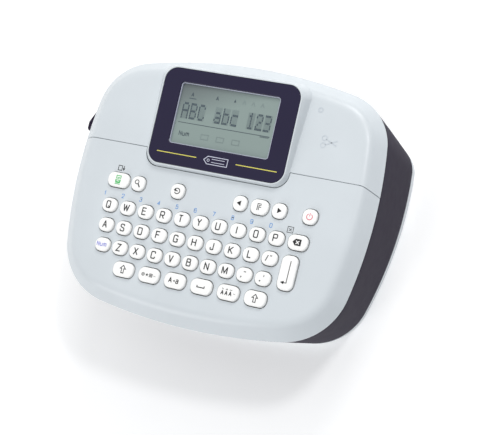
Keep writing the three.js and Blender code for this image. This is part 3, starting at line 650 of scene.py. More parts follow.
def add_sky():
    """Even white light all round, dimmer from the right so that the slopes on that side are shaded."""
    world = bpy.data.worlds.new("studio")
    bpy.context.scene.world = world
    world.use_nodes = True
    tree = world.node_tree
    where = tree.nodes.new("ShaderNodeTexCoord")
    split = tree.nodes.new("ShaderNodeSeparateXYZ")
    link(tree, where.outputs["Generated"], split.inputs["Vector"])
    dim = (0.46, 0.48, 0.52)
    color = ramp(tree, split.outputs["X"], [(0.0, (0.97, 0.985, 1.0)), (0.85, dim)])
    link(tree, color, tree.nodes["Background"].inputs["Color"])
    tree.nodes["Background"].inputs["Strength"].default_value = 0.70


FLOOR_REACH = 9000.0


def add_studio():
    scene = bpy.context.scene
    scene.view_settings.view_transform = "Standard"
    scene.view_settings.look = "None"
    add_sky()
    add_area("key_light", (0.10, 0.80, 0.62), 0.40, 3.9, (1.0, 0.995, 0.98))
    add_area("glint_light", (0.34, 0.36, 0.80), 0.12, 1.8)
    add_area("lower_light", (-0.45, -0.85, 0.5), 0.6, 3.4)
    corners = [(-1, -1), (1, -1), (1, 1), (-1, 1)]
    floor = make_object("studio_floor", [(x * FLOOR_REACH, y * FLOOR_REACH, 0) for x, y in corners],
                        [(0, 1, 2, 3)], smooth=False)
    floor.location.z = -0.0001
    floor.data.materials.append(floor_paint())


add_camera()
add_studio()


# ---------------------------------------------------------------- keys

KEY_NODES = [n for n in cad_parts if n.startswith("key_")]
KEY_ROUND = 0.62  # rounding of a key's upper edge
KEY_DOME = 0.16  # how far a key's top falls towards its edge
LEGEND_SIZE = 3.25
LEGEND_WEIGHT = 0.43


def key_shape(node):
    """Centre, width and height of a key's cap, and the heights of its foot and top."""
    low, high = node_box(node)
    x, y = (low[:2] + high[:2]) / 2
    width, height = high[:2] - low[:2] - 2 * KEY_FLANGE
    return x, y, width, height, low[2], high[2]


def key_outline(x, y, width, height, extra=0.0):
    return rounded_rect(x - width / 2 - extra, x + width / 2 + extra, y - height / 2 - extra,
                        y + height / 2 + extra, KEY_CORNER + extra)


def key_height(shape, px, py):
    """Height of the domed top at a point."""
    x, y, width, height, _, top = shape
    reach = max(abs(px - x) / (width / 2), abs(py - y) / (height / 2))
    return top - KEY_DOME * min(reach, 1.0) ** 2


def build_key(node):
    shape = key_shape(node)
    x, y, width, height, low, top = shape
    flange_top = low + KEY_FLANGE_THICKNESS
    rings = [
        at_height(key_outline(x, y, width, height, KEY_FLANGE), low),
        at_height(key_outline(x, y, width, height, KEY_FLANGE), flange_top),
        at_height(key_outline(x, y, width, height), flange_top),
    ]
    shoulder = top - KEY_DOME
    for inward, down in quarter(6, KEY_ROUND):
        rings.append(at_height(key_outline(x, y, width, height, -inward), shoulder - down))
    cap = key_outline(x, y, width, height, -KEY_ROUND)
    for share in (0.86, 0.68, 0.48, 0.28, 0.1):
        points = np.array([x, y]) + (cap - [x, y]) * share
        rings.append(at_height(points, top - KEY_DOME * share * share))
    obj = loft(node + "_cap", rings)
    weigh_normals(obj)
    place(obj, node, "key_white", KEY_WHITE, node)
    return shape


def legend(node, shape, draw, material):
    mark = Marking(shape[:2])
    draw(mark)
    obj = mark.made("legend_" + node[4:], lambda px, py: key_height(shape, px, py) - 0.01, 0.045)
    place(obj, node, "key_white", material)


# Each drawing puts one legend on a marking whose origin is the middle of the key.

def letter(character):
    return lambda m: m.text(character, -0.25, 0.05, LEGEND_SIZE, LEGEND_WEIGHT)


def arrow_head(side):
    """A triangle that points left with side 1 and right with side -1."""
    return lambda m: m.polygon([(-1.2 * side, 0.0), (0.6 * side, 1.15 * side), (0.6 * side, -1.15 * side)])


def draw_num(m):
    m.text("Num", -0.2, 0.1, 2.0, 0.26)


def draw_print(m):
    m.stroke([(-1.0, 0.2), (-1.0, 1.7), (1.0, 1.7), (1.0, 0.2)], 0.32)
    m.rectangle(-0.62, 0.75, 0.62, 1.05)
    m.rectangle(-0.62, 0.25, 0.62, 0.5)
    m.polygon([(-1.35, -0.1), (1.35, -0.1), (1.0, -1.5), (-1.0, -1.5)],
              [(-0.6, -0.8), (0.6, -0.8), (0.75, -0.45), (-0.75, -0.45)])
    m.rectangle(-1.2, -2.0, 1.2, -1.75)


def draw_find(m):
    m.ring(-0.45, 0.55, 0.85, 0.32)
    m.stroke([(0.15, -0.1), (1.1, -1.5)], 0.5)


def draw_recall(m):
    m.ring(0.0, 0.0, 1.15, 0.34, -150, 140)
    m.polygon([(-1.6, 0.15), (-0.35, 0.25), (-0.95, 1.15)])
    m.rectangle(-1.2, -0.17, 0.35, 0.17)


def draw_function(m):
    m.rectangle(-0.9, -1.4, -0.55, 1.4)
    m.rectangle(-0.9, 1.1, 0.9, 1.4)
    m.rectangle(-0.25, 0.45, 0.9, 0.7)
    m.rectangle(-0.25, -0.25, 0.9, 0.0)
    m.rectangle(-0.25, -1.4, 0.05, 0.7)


def draw_power(m):
    m.ring(0.0, -0.1, 1.2, 0.28, 120, 420)
    m.rectangle(-0.14, 0.1, 0.14, 1.45)


def draw_backspace(m):
    m.polygon([(-2.1, 0.0), (-1.0, 1.35), (1.5, 1.35), (1.5, -1.35), (-1.0, -1.35)],
              [(0.0, 0.22), (-0.55, 0.8), (-0.85, 0.5), (-0.3, -0.05), (-0.85, -0.6), (-0.55, -0.9),
               (0.0, -0.32), (0.55, -0.9), (0.85, -0.6), (0.3, -0.05), (0.85, 0.5), (0.55, 0.8)])


def draw_enter(m):
    m.stroke([(0.55, 4.9), (0.55, -4.1), (-0.7, -4.1)], 0.3)
    m.polygon([(-2.0, -4.1), (-0.5, -3.4), (-0.5, -4.8)])


def draw_shift(m):
    arrow = [(0.0, 1.7), (1.2, 0.3), (0.5, 0.3), (0.5, -1.5), (-0.5, -1.5), (-0.5, 0.3), (-1.2, 0.3)]
    m.stroke(arrow, 0.32, closed=True)


def draw_symbol(m):
    m.ring(-2.4, 0.0, 0.62, 0.22)
    m.disc(-2.4, 0.0, 0.28)
    reach = [0.75 * share for share in (1.0, 0.42)]
    star = [(reach[i % 2] * math.sin(i * math.pi / 5) - 0.6, reach[i % 2] * math.cos(i * math.pi / 5))
            for i in range(10)]
    m.polygon(star[::-1])
    m.box(0.55, -0.6, 1.75, 0.6, 0.24)
    m.rectangle(1.03, -0.55, 1.27, 0.55)
    m.rectangle(0.6, -0.12, 1.7, 0.12)
    for i in range(3):
        m.disc(2.35 + 0.4 * i, -0.05, 0.13, 8)


def draw_caps(m):
    m.text("A", -1.8, 0.1, 2.4, 0.36)
    m.polygon([(-0.55, -0.1), (0.25, 0.4), (0.25, -0.6)])
    m.text("a", 1.3, 0.1, 2.4, 0.36)


def draw_space(m):
    m.stroke([(-1.6, 0.35), (-1.6, -0.4), (1.6, -0.4), (1.6, 0.35)], 0.38)


def draw_accent(m):
    """Three letters, with a grave, a roof and two dots, and a short row of dots."""
    grave, roof, dots = (-2.2 + 1.75 * i for i in range(3))
    for x in (grave, roof, dots):
        m.text("A", x, -0.3, 2.0, 0.32)
    m.stroke([(grave - 0.35, 1.45), (grave + 0.25, 1.0)], 0.24)
    m.stroke([(roof - 0.45, 0.95), (roof, 1.4), (roof + 0.45, 0.95)], 0.22)
    m.disc(dots - 0.32, 1.2, 0.2, 10)
    m.disc(dots + 0.32, 1.2, 0.2, 10)
    for i in range(2):
        m.disc(2.75 + 0.5 * i, -0.1, 0.14, 8)


def draw_slash(m):
    m.stroke([(-1.35, -1.3), (-0.55, 1.2)], 0.34)
    m.rectangle(0.25, 0.75, 0.5, 1.35)
    m.rectangle(0.75, 0.75, 1.0, 1.35)


def draw_comma(m):
    m.disc(-0.95, -1.0, 0.26, 12)
    m.polygon([(-1.15, -1.05), (-0.72, -1.0), (-1.15, -1.65)])
    m.rectangle(-0.2, 1.0, 0.75, 1.3)


def draw_dot(m):
    m.disc(-0.85, -1.1, 0.3, 12)
    m.rectangle(0.3, 0.7, 0.58, 1.45)


# Keys without a drawing here carry their own letter, and legends without an ink are black.
DRAWINGS = {
    "print": draw_print, "find": draw_find, "recall": draw_recall, "left": arrow_head(1),
    "right": arrow_head(-1), "function": draw_function, "power": draw_power, "backspace": draw_backspace,
    "enter": draw_enter, "shift_left": draw_shift, "shift_right": draw_shift, "symbol": draw_symbol,
    "caps": draw_caps, "space": draw_space, "accent": draw_accent, "slash": draw_slash,
    "comma": draw_comma, "dot": draw_dot, "num": draw_num,
}
LEGEND_INKS = {"print": GREEN_INK, "power": RED_INK, "num": VIOLET_INK}


def add_keys():
    shapes = {}
    for node in KEY_NODES:
        name = node[4:]
        shapes[node] = build_key(node)
        draw = DRAWINGS.get(name, letter(name.upper()))
        legend(node, shapes[node], draw, LEGEND_INKS.get(name, KEY_INK))
    return shapes


KEYS = add_keys()


# ---------------------------------------------------------------- front of the case

FAR = 200.0  # beyond the case on every side
KEY_GAP = 0.38
HOLE_RIM = 0.12  # rounding of the key holes' rims


def slope_profile():
    """(height, inset) of the front's outside, from its lower edge over the slope to the flat face."""
    start = np.array([EDGE_Z + 1.3, 0.42])
    bend = np.array([FACE_Z - 1.75, 4.2])
    corner = np.array([FACE_Z, 5.9])
    end = np.array([FACE_Z, 8.6])
    levels = [(EDGE_Z, 0.25), (EDGE_Z + 0.12, 0.08), (EDGE_Z + 0.35, 0.0), (EDGE_Z + 0.9, 0.08)]
    levels += [tuple(start + (bend - start) * s) for s in (0.0, 0.25, 0.5, 0.75)]
    for s in np.linspace(0, 1, 9):
        levels.append(tuple(bend * (1 - s) ** 2 + 2 * corner * s * (1 - s) + end * s * s))
    return levels


def front_pan(sunk=0.0):
    """The hollow front; a sunk one lies just behind the outer surface."""
    inside = [(FACE_Z - WALL, EDGE_RUN + WALL), (FACE_Z - WALL - 1.4, EDGE_RUN), (EDGE_Z + 0.5, WALL),
              (EDGE_Z, WALL)]
    levels = [(max(z - sunk, EDGE_Z), inset + sunk / 2) for z, inset in inside + slope_profile()]
    return case_loft("front_pan", levels)


def seam_cutter(offset):
    """Everything above the seam, which runs straight across and drops on the right-hand slope."""
    y = SEAM_Y + offset
    slope = FRONT["half"] - EDGE_RUN
    points = np.array([(-FAR, y), (slope - 1.0, y), (slope + 0.6, y - 0.35),
                       (FRONT["half"] + 0.5, y - SEAM_DIP), (FAR, y - SEAM_DIP), (FAR, FAR), (-FAR, FAR)])
    return prism("above_seam", points, EDGE_Z - 5, FACE_Z + 20)


def key_holes():
    """One tool for all key holes, flared at the top so that each hole has a rounded rim."""
    verts, faces = [], []
    for x, y, width, height, _, _ in KEYS.values():
        rings = [at_height(key_outline(x, y, width, height, KEY_GAP), FACE_Z - 2 * WALL)]
        for outward, down in quarter(4, HOLE_RIM):
            rings.append(at_height(key_outline(x, y, width, height, KEY_GAP + outward), FACE_Z - down))
        rings.append(at_height(key_outline(x, y, width, height, KEY_GAP + HOLE_RIM), FACE_Z + 2))
        ring_verts, ring_faces = loft_data(rings)
        faces += [[len(verts) + i for i in f] for f in ring_faces]
        verts += ring_verts.tolist()
    return make_object("key_holes", verts, faces)


# The display stands in a housing of its own and is tilted about its lower edge.
DISPLAY_X = (BEZEL_LOW[0] + BEZEL_HIGH[0]) / 2
DISPLAY_WIDTH = BEZEL_HIGH[0] - BEZEL_LOW[0]
DISPLAY_RISE_LOW = 2.0
DISPLAY_RISE_HIGH = BEZEL_HIGH[2] - FACE_Z
DISPLAY_Y = 8.3
DISPLAY_HEIGHT = 41.0
DISPLAY_CORNER = 5.5
DISPLAY_RIM = 0.8
DISPLAY_THICKNESS = 1.0
GLASS_Z = -DISPLAY_THICKNESS - CLEAR  # the display glass, measured from the bezel's upper face
TILT = math.atan((DISPLAY_RISE_HIGH - DISPLAY_RISE_LOW) / DISPLAY_HEIGHT)
TILTED = np.array([[1, 0, 0], [0, math.cos(TILT), -math.sin(TILT)], [0, math.sin(TILT), math.cos(TILT)]])
DISPLAY_ORIGIN = np.array([DISPLAY_X, DISPLAY_Y, FACE_Z + DISPLAY_RISE_LOW])
WINDOW = dict(x0=-22.1, x1=21.9, y0=9.45, y1=34.95, corner=0.9)
WINDOW_ROUND = 0.35  # rounding of the window's edge
HOUSING_ROUND = 0.45  # rounding of the housing's crest


def on_display(points, z):
    """Points of the display's own plane, at depth z, brought to their place on the case."""
    return at_height(points, z) @ TILTED.T + DISPLAY_ORIGIN


def display_ring(grow, z):
    return on_display(rounded_rect(-DISPLAY_WIDTH / 2 - grow, DISPLAY_WIDTH / 2 + grow, -grow,
                                   DISPLAY_HEIGHT + grow, DISPLAY_CORNER + grow, 12), z)


def window_ring(grow, z):
    return on_display(rounded_rect(WINDOW["x0"] - grow, WINDOW["x1"] + grow, WINDOW["y0"] - grow,
                                   WINDOW["y1"] + grow, WINDOW["corner"] + max(grow, 0), 6), z)


def foot_outline(grow=0.0):
    """Where the display's housing meets the face: close under the lower edge, wide at the upper one."""
    ring = rounded_rect(-DISPLAY_WIDTH / 2, DISPLAY_WIDTH / 2, 0, DISPLAY_HEIGHT, DISPLAY_CORNER, 12)
    points = []
    for x, y in ring:
        share = y / DISPLAY_HEIGHT
        across = 1 + (1.2 + 2.4 * share + grow) / (DISPLAY_WIDTH / 2)
        shift = -1.2 - grow if share < 0.5 else 2.1 + grow
        points.append((DISPLAY_X + x * across, DISPLAY_Y + y + shift * abs(share - 0.5) * 2))
    return np.array(points)


def housing():
    """The raised surround of the display: a hollow foot curve, a slope and a rounded crest."""
    foot = at_height(foot_outline(), FACE_Z)
    brim = display_ring(DISPLAY_RIM, -HOUSING_ROUND)
    rings = [foot - [0, 0, WALL], foot - [0, 0, 0.5]]
    for s in np.linspace(0, 1, 9):
        rise = s * s * (3 - 2 * s) * 0.45 + s * 0.55
        level = foot + (brim - foot) * s
        level[:, 2] = foot[:, 2] + (brim[:, 2] - foot[:, 2]) * rise
        rings.append(level)
    for inward, down in quarter(4, HOUSING_ROUND)[1:]:
        rings.append(display_ring(DISPLAY_RIM - inward, -down))
    return loft("housing", rings)


def clear_of_housing(piece):
    """Cuts the room for the display's housing out of a piece of the front."""
    combine(piece, prism("housing_clear", foot_outline(SEAM), EDGE_Z - 2, FACE_Z + 20))


def add_keyboard_panel():
    panel = front_pan()
    combine(panel, seam_cutter(-SEAM / 2))
    clear_of_housing(panel)
    combine(panel, key_holes())
    finish_shell(panel, "keyboard_panel_shell", "case", "panel_light", PANEL_GREY, "keyboard_panel")


def add_seam_tongue():
    """A narrow strip just behind the seam, which closes it to the eye."""
    tongue = front_pan(0.7)
    combine(tongue, seam_cutter(-0.8), "INTERSECT")
    combine(tongue, seam_cutter(0.8))
    clear_of_housing(tongue)
    tongue.name = "seam_tongue"
    place(tongue, "case", "panel_light", PANEL_GREY)


def add_upper_cover():
    cover = front_pan()
    keep = seam_cutter(SEAM / 2)
    combine(keep, prism("foot", foot_outline(), EDGE_Z - 4, FACE_Z + 19), "UNION")
    combine(cover, keep, "INTERSECT")
    combine(cover, housing(), "UNION")
    combine(cover, loft("seat", [display_ring(0.12, GLASS_Z), display_ring(0.12, 3)]))
    combine(cover, loft("lcd_opening", [window_ring(2.7, -20), window_ring(2.7, 1)]))
    finish_shell(cover, "upper_cover_shell", "case", "panel_light", PANEL_GREY, "upper_cover")


add_keyboard_panel()
add_seam_tongue()
add_upper_cover()


# ---------------------------------------------------------------- display

def add_bezel():
    rings = [display_ring(-0.1, -DISPLAY_THICKNESS), display_ring(0.0, -DISPLAY_THICKNESS + 0.1)]
    rings += [display_ring(-inward, -down) for inward, down in quarter(4, 0.3)]
    bezel = loft("display_bezel_plate", rings)
    tool = [window_ring(WINDOW_ROUND, -3)]
    tool += [window_ring(WINDOW_ROUND + outward, -down) for outward, down in quarter(4, WINDOW_ROUND)]
    tool.append(window_ring(2 * WINDOW_ROUND, 2))
    combine(bezel, loft("window", tool))
    finish_shell(bezel, bezel.name, "case", "display_navy", NAVY, "display_bezel")


def add_window_frame():
    """A thin pale ring inside the window, whose section is closed on itself."""
    section = [(0.0, -1.25), (0.0, -0.55), (0.12, -0.42), (0.3, -0.42), (0.3, -1.25), (0.0, -1.25)]
    verts, faces = loft_data([window_ring(grow, z) for grow, z in section], capped=False)
    ring = make_object("window_frame", verts, faces)
    face_outwards(ring.data, merge=1e-7)
    shade(ring)
    place(ring, "case", "display_navy", FRAME_GREY)


def add_lcd():
    glass = loft("lcd_module", [window_ring(2.4, GLASS_Z - 2.4), window_ring(2.4, GLASS_Z - 0.1),
                                window_ring(2.3, GLASS_Z)])
    place(glass, "case", "lcd_grey_green", LCD_GLASS, "lcd_panel")


add_bezel()
add_window_frame()
add_lcd()


# ---------------------------------------------------------------- markings on the display and the face

def on_bezel(x, y):
    """Height of the tilted bezel at a place on the face, a trace inside its surface."""
    return FACE_Z + DISPLAY_RISE_LOW + (y - DISPLAY_Y) * math.tan(TILT) - 0.005


def on_glass(x, y):
    return on_bezel(x, y) + GLASS_Z + 0.015


def on_face(x, y):
    return FACE_Z - 0.01


def in_face(x, y):
    """A little deeper, where the moulded signs start."""
    return FACE_Z - 0.02


def put_mark(mark, name, height_at, thickness, slot, material):
    place(mark.made(name, height_at, thickness), "case", slot, material)


DOTS = {
    "A": "01110 10001 10001 11111 10001 10001 10001",
    "B": "11110 10001 10001 11110 10001 10001 11110",
    "C": "01110 10001 10000 10000 10000 10001 01110",
    "a": "00000 00000 01110 00001 01111 10001 01111",
    "b": "10000 10000 11110 10001 10001 10001 11110",
    "c": "00000 00000 01111 10000 10000 10000 01111",
    "1": "00100 01100 00100 00100 00100 00100 01110",
    "2": "01110 10001 00001 00110 01000 10000 11111",
    "3": "11110 00001 00001 01110 00001 00001 11110",
}
DOT_X, DOT_Y = 0.62, 1.0  # from one dot to the next


def draw_dots(dark, faint):
    """A line of generic characters; the dots that are off show faintly."""
    for position, character in enumerate("ABC abc 123"):
        rows = DOTS[character].split() if character != " " else []
        for row, bits in enumerate(rows):
            for column, bit in enumerate(bits):
                x = 1.9 + (position * 6 + column) * DOT_X
                y = 16.9 - row * DOT_Y
                mark = dark if bit == "1" else faint
                mark.rectangle(x, y, x + DOT_X * 0.86, y + DOT_Y * 0.9)


def draw_signs(dark, faint):
    """The line under the characters with its ticks, the signs above them and those at the foot."""
    dark.rectangle(1.4, 9.0, 42.6, 9.25)
    for i in range(8):
        dark.rectangle(38.5 + i * 0.5, 8.4, 38.8 + i * 0.5, 8.9)
    for x, height in ((5.2, 1.87), (16.5, 1.87), (24.5, 1.43)):
        dark.text("A", x, 21.4, height, 0.3)
    for x in (28.6, 32.7, 36.8):
        faint.stroke([(x - 0.7, 20.6), (x, 22.2), (x + 0.7, 20.6)], 0.3)
    dark.rectangle(4.0, 19.5, 7.2, 19.8)
    dark.text("Num", 5.2, 4.6, 2.1, 0.28)
    for x in (13.0, 20.0, 27.0):
        faint.box(x, 3.4, x + 3.2, 5.4, 0.3)


def add_lcd_marks():
    corner = (DISPLAY_X + WINDOW["x0"], DISPLAY_Y + WINDOW["y0"])
    dark, faint = Marking(corner), Marking(corner)
    draw_dots(dark, faint)
    draw_signs(dark, faint)
    put_mark(dark, "lcd_text", on_glass, 0.02, "lcd_grey_green", LCD_INK)
    put_mark(faint, "lcd_faint", on_glass, 0.02, "lcd_grey_green", LCD_FAINT)


def add_bezel_marks():
    """Two yellow lines and a plain tag between them."""
    lines = Marking()
    for x in (-29.0, 6.9):
        lines.rectangle(x, 12.95, x + 18.1, 13.3)
    put_mark(lines, "bezel_lines", on_bezel, 0.03, "display_navy", YELLOW_INK)
    tag = Marking((-2.0, 12.9))
    tag.stroke([(-5.4, 0.0), (-3.8, 1.6), (5.2, 1.6), (5.2, -1.6), (-3.8, -1.6)], 0.3, closed=True)
    tag.ring(-3.4, 0.0, 0.5, 0.22)
    for y in (0.65, -0.65):
        tag.rectangle(-1.9, y - 0.12, 3.9, y + 0.12)
    put_mark(tag, "bezel_tag_icon", on_bezel, 0.03, "display_navy", PALE_INK)


def add_digits():
    digits = Marking()
    for i, name in enumerate("qwertyuiop"):
        x, y = KEYS["key_" + name][:2]
        digits.text(str((i + 1) % 10), x - 3.75, y + 4.8, 1.95, 0.3)
    put_mark(digits, "printed_digits", on_face, 0.03, "panel_light", BLUE_INK)


def add_printed_icons():
    """The small signs above the print key and beside the backspace key."""
    signs = Marking()
    x, y = KEYS["key_print"][:2]
    signs.box(x - 1.9, y + 4.3, x - 0.2, y + 6.3, 0.28)
    signs.rectangle(x + 0.5, y + 4.6, x + 0.8, y + 6.4)
    signs.polygon([(x + 0.1, y + 5.3), (x + 1.2, y + 5.3), (x + 0.65, y + 4.2)])
    x, y = KEYS["key_backspace"][:2]
    x -= 4.6
    signs.box(x - 1.2, y + 3.4, x + 1.2, y + 5.8, 0.24)
    signs.stroke([(x - 0.6, y + 4.0), (x + 0.6, y + 5.2)], 0.22)
    signs.stroke([(x - 0.6, y + 5.2), (x + 0.6, y + 4.0)], 0.22)
    put_mark(signs, "printed_icons", on_face, 0.03, "panel_light", KEY_INK)


def add_moulded_signs():
    scissors = Marking((42.9, 29.3))
    for side in (1, -1):
        scissors.ring(-2.3, 1.5 * side, 1.0, 0.35)
        blade = [(-1.5, 0.95 * side), (-1.2, 1.3 * side), (3.4, -0.9 * side), (3.2, -1.25 * side)]
        scissors.polygon(blade[::side])
    # The moulded signs are painted darker than the panel, as painted shade for their relief.
    put_mark(scissors, "moulded_scissors", in_face, 0.12, "panel_light", RELIEF_PAINTED_SHADE)
    dot = Marking((36.2, 42.0))
    dot.ring(0, 0, 0.9, 0.5)
    put_mark(dot, "moulded_dot", in_face, 0.12, "panel_light", RELIEF_PAINTED_SHADE)


add_lcd_marks()
add_bezel_marks()
add_digits()
add_printed_icons()
add_moulded_signs()


# ---------------------------------------------------------------- body and back cover

ROOM = 1.0
BOARD_LOW = node_box("main_board")[0]
CASSETTE_LOW, CASSETTE_HIGH = node_box("tape_cassette")
CELLS_LOW, CELLS_HIGH = node_box("battery_cells")
HEAD_LOW, HEAD_HIGH = node_box("print_head")
PLATEN_LOW, PLATEN_HIGH = node_box("platen_roller")

BAY_Z = CASSETTE_LOW[2]
DIVIDER_LOW = CASSETTE_HIGH[2] + ROOM  # between tape bay and drive chamber
DIVIDER_HIGH = DIVIDER_LOW + 2.0
PLATEN_X = (PLATEN_LOW[0] + PLATEN_HIGH[0]) / 2
PLATEN_Y = (PLATEN_LOW[1] + PLATEN_HIGH[1]) / 2
PLATEN_RADIUS = 4.5
GEAR_TOP = PLATEN_HIGH[2]
GEAR_Z = DIVIDER_HIGH + ROOM
HEAD_WIDTH = HEAD_HIGH[1] - HEAD_LOW[1]
TAPE_X = (PLATEN_X + PLATEN_RADIUS + HEAD_LOW[0]) / 2
EXIT_WIDTH = 5.0

# Cutter button: its pad, its flange inside the wall and the arm to the blade
CUTTER_TRAVEL = 4.0
FLANGE_THICKNESS = 2.0
BUTTON_Y0 = CUTTER_LOW[1] + FLANGE_THICKNESS
BUTTON_Y1 = BUTTON_Y0 + 12.0
BUTTON_SLOPE = 8.0
BUTTON_LOW_Z = GEAR_TOP + ROOM
BUTTON_HIGH_Z = CUTTER_HIGH[2] - FLANGE_THICKNESS / 2
CUTTER_HOLE_IN = PLATEN_X - ROOM
ARM = 3.0
ARM_Y = CUTTER_HIGH[1] - ARM
BLADE_X = CUTTER_HIGH[0]


def half_width_at(y, z, inset):
    """Half the case's width at a height y on the outline at z, above the widest point."""
    side = [p for p in case_outline(z, inset) if p[0] > 0]
    after = next(i for i, p in enumerate(side) if p[1] > y)
    return float(np.interp(y, [side[after - 1][1], side[after][1]], [side[after - 1][0], side[after][0]]))


SHELL_EDGE = 0.35  # rounding of the side band's upper and lower edges
SHAFT_HOLE = 1.8
PARTITION_HALF = 60.5
PARTITION_Y = (-2.6, -1.0)
TO_THE_LEFT = Matrix(((0, 0, -1, 0), (1, 0, 0, 0), (0, 1, 0, 0), (0, 0, 0, 1)))  # a prism's height along -X
TO_THE_TOP = Matrix(((1, 0, 0, 0), (0, 0, -1, 0), (0, 1, 0, 0), (0, 0, 0, 1)))  # a prism's height along -Y


def shell_levels():
    """(height, inset) of the side band: up the outside, over the ledge for the board, down the inside."""
    bottom, top = SHELL_LOW[2], SHELL_HIGH[2]
    ledge = BOARD_LOW[2] - CLEAR
    edge = SHELL_EDGE
    levels = [(DIVIDER_LOW, WALL), (bottom, WALL), (bottom, edge), (bottom + edge * 0.3, edge * 0.3),
              (bottom + edge, 0.0)]
    levels += [(bottom + edge + (top - bottom - 2 * edge) * s, 0.0) for s in np.linspace(0, 1, 9)[1:]]
    levels += [(top - edge * 0.3, edge * 0.3), (top, edge), (top, WALL), (ledge, WALL),
               (ledge, WALL + LEDGE_WIDTH), (ledge - LEDGE_THICKNESS, WALL + LEDGE_WIDTH),
               (ledge - LEDGE_THICKNESS, WALL), (DIVIDER_HIGH, WALL)]
    return levels


def cutter_hole():
    hole = prism("cutter_hole", rounded_rect(BUTTON_Y0 - CLEAR, BUTTON_Y1 + CLEAR, BUTTON_LOW_Z - CLEAR,
                                             BUTTON_HIGH_Z + CLEAR, 1.2), -CUTTER_HOLE_IN, FAR)
    hole.data.transform(TO_THE_LEFT)
    hole.data.flip_normals()
    return hole


def label_slot():
    slot = prism("label_slot", rounded_rect(TAPE_X - EXIT_WIDTH / 2, TAPE_X + EXIT_WIDTH / 2, BAY_Z + ROOM,
                                            DIVIDER_LOW - ROOM, 1.0), -FAR, -PLATEN_Y - HEAD_WIDTH)
    slot.data.transform(TO_THE_TOP)
    return slot


def add_body():
    body = case_loft("body_shell_moulding", shell_levels())
    combine(body, cutter_hole())
    combine(body, label_slot())
    combine(body, block("blade_slot", (BLADE_X - ARM - CLEAR, ARM_Y - CLEAR, DIVIDER_LOW - 1),
                        (BLADE_X + CUTTER_TRAVEL + CLEAR, ARM_Y + ARM + CLEAR, DIVIDER_HIGH + 1)))
    combine(body, drum("shaft_hole", PLATEN_X, PLATEN_Y, SHAFT_HOLE, DIVIDER_LOW - 1, DIVIDER_HIGH + 1))
    soften(body, 0.18, 2, 55.0)
    weigh_normals(body)
    place(body, "case", "case_charcoal", CHARCOAL, "body_shell")


def add_partition():
    """The wall between the cell bay and the tape bay."""
    partition = block("bay_partition", (-PARTITION_HALF, PARTITION_Y[0], BAY_Z + 0.2),
                      (PARTITION_HALF, PARTITION_Y[1], DIVIDER_LOW - 0.02))
    place(soften(partition, 0.2), "case", "case_charcoal", CHARCOAL)


FOOT_PLACES = [(x, y) for x in (-44.0, 44.0) for y in (-34.0, 36.0)]
FOOT_RADIUS = 4.0


def back_levels():
    """(height, inset) of the back cover: down the inside of its lip, over the rim and round to the back."""
    lip_top = BACK_HIGH[2]
    lip_inset = WALL + CLEAR
    levels = [(2.0, lip_inset + LIP_THICKNESS), (lip_top - 0.2, lip_inset + LIP_THICKNESS),
              (lip_top, lip_inset + LIP_THICKNESS - 0.2), (lip_top, lip_inset + 0.2),
              (lip_top - 0.2, lip_inset), (BACK_RIM, lip_inset), (BACK_RIM, 0.3), (BACK_RIM - 0.09, 0.09),
              (BACK_RIM - 0.3, 0.0)]
    levels += [(BACK_ROUND + (BACK_RIM - 0.3 - BACK_ROUND) * s, 0.0) for s in (0.66, 0.33, 0.0)]
    for a in np.linspace(0, math.pi / 2, 9)[1:]:
        levels.append((BACK_ROUND * (1 - math.sin(a)), BACK_ROUND * (1 - math.cos(a))))
    return levels


def add_back_cover():
    cover = case_loft("back_cover_moulding", back_levels())
    for x, y in FOOT_PLACES:
        combine(cover, drum("foot_recess", x, y, FOOT_RADIUS, -1.0, 0.8))
    combine(cover, prism("grip_recess", rounded_rect(-9.0, 9.0, 38.5, 44.5, 2.5), -1.0, 0.9))
    combine(cover, prism("label_recess", rounded_rect(-26.0, 26.0, -16.0, 14.0, 1.5), -1.0, 0.25))
    finish_shell(cover, cover.name, "back_cover", "panel_light", PANEL_GREY, "back_cover")


def add_back_fittings():
    """Rubber feet, grip ribs and a blank rating plate, each in its recess."""
    pads = [drum("pad", x, y, FOOT_RADIUS - 0.2, 0.05, 0.9) for x, y in FOOT_PLACES]
    place(soften(joined("rubber_feet", pads), 0.25), "back_cover", "rubber_black", RUBBER_BLACK)
    ribs = [block("rib", (-7.5, y, 0.15), (7.5, y + 0.5, 1.0)) for y in (39.8, 40.9, 42.0, 43.1)]
    place(soften(joined("grip_ribs", ribs), 0.12), "back_cover", "panel_light", PANEL_GREY)
    plate = prism("blank_label", rounded_rect(-25.6, 25.6, -15.6, 13.6, 1.2), 0.08, 0.3)
    place(soften(plate, 0.05), "back_cover", "steel", FRAME_GREY)


add_body()
add_partition()
add_back_cover()
add_back_fittings()


# ---------------------------------------------------------------- cutter button

BUTTON_OUT = CUTTER_LOW[0]
BUTTON_FOOT = -FRONT["half"] - SEAM  # where the button's slope leaves the side of the case
BUTTON_ROUND = 1.5
SLOPE_END = BUTTON_Y1 - BUTTON_SLOPE
FLANGE_Z = (BUTTON_LOW_Z - CLEAR, CUTTER_HIGH[2])
FLANGE_X = CLEAR - min(half_width_at(ARM_Y + ARM, z, WALL) for z in FLANGE_Z)


def nose_outline():
    """The button seen along Z: its foot in the case, a bowed slope and a rounded end."""
    nose = [(FLANGE_X, BUTTON_Y0), (FLANGE_X, BUTTON_Y1), (BUTTON_FOOT, BUTTON_Y1)]
    for share in np.linspace(0.12, 1, 8):
        bow = 0.175 * math.sin(share * math.pi)
        nose.append((BUTTON_FOOT + (BUTTON_OUT - BUTTON_FOOT) * share - bow,
                     BUTTON_Y1 + (SLOPE_END - BUTTON_Y1) * share))
    for inward, down in quarter(5, BUTTON_ROUND):
        nose.append((BUTTON_OUT + inward, BUTTON_Y0 + down))
    return np.maximum(np.array(nose), [BUTTON_OUT + 0.02, BUTTON_Y0])


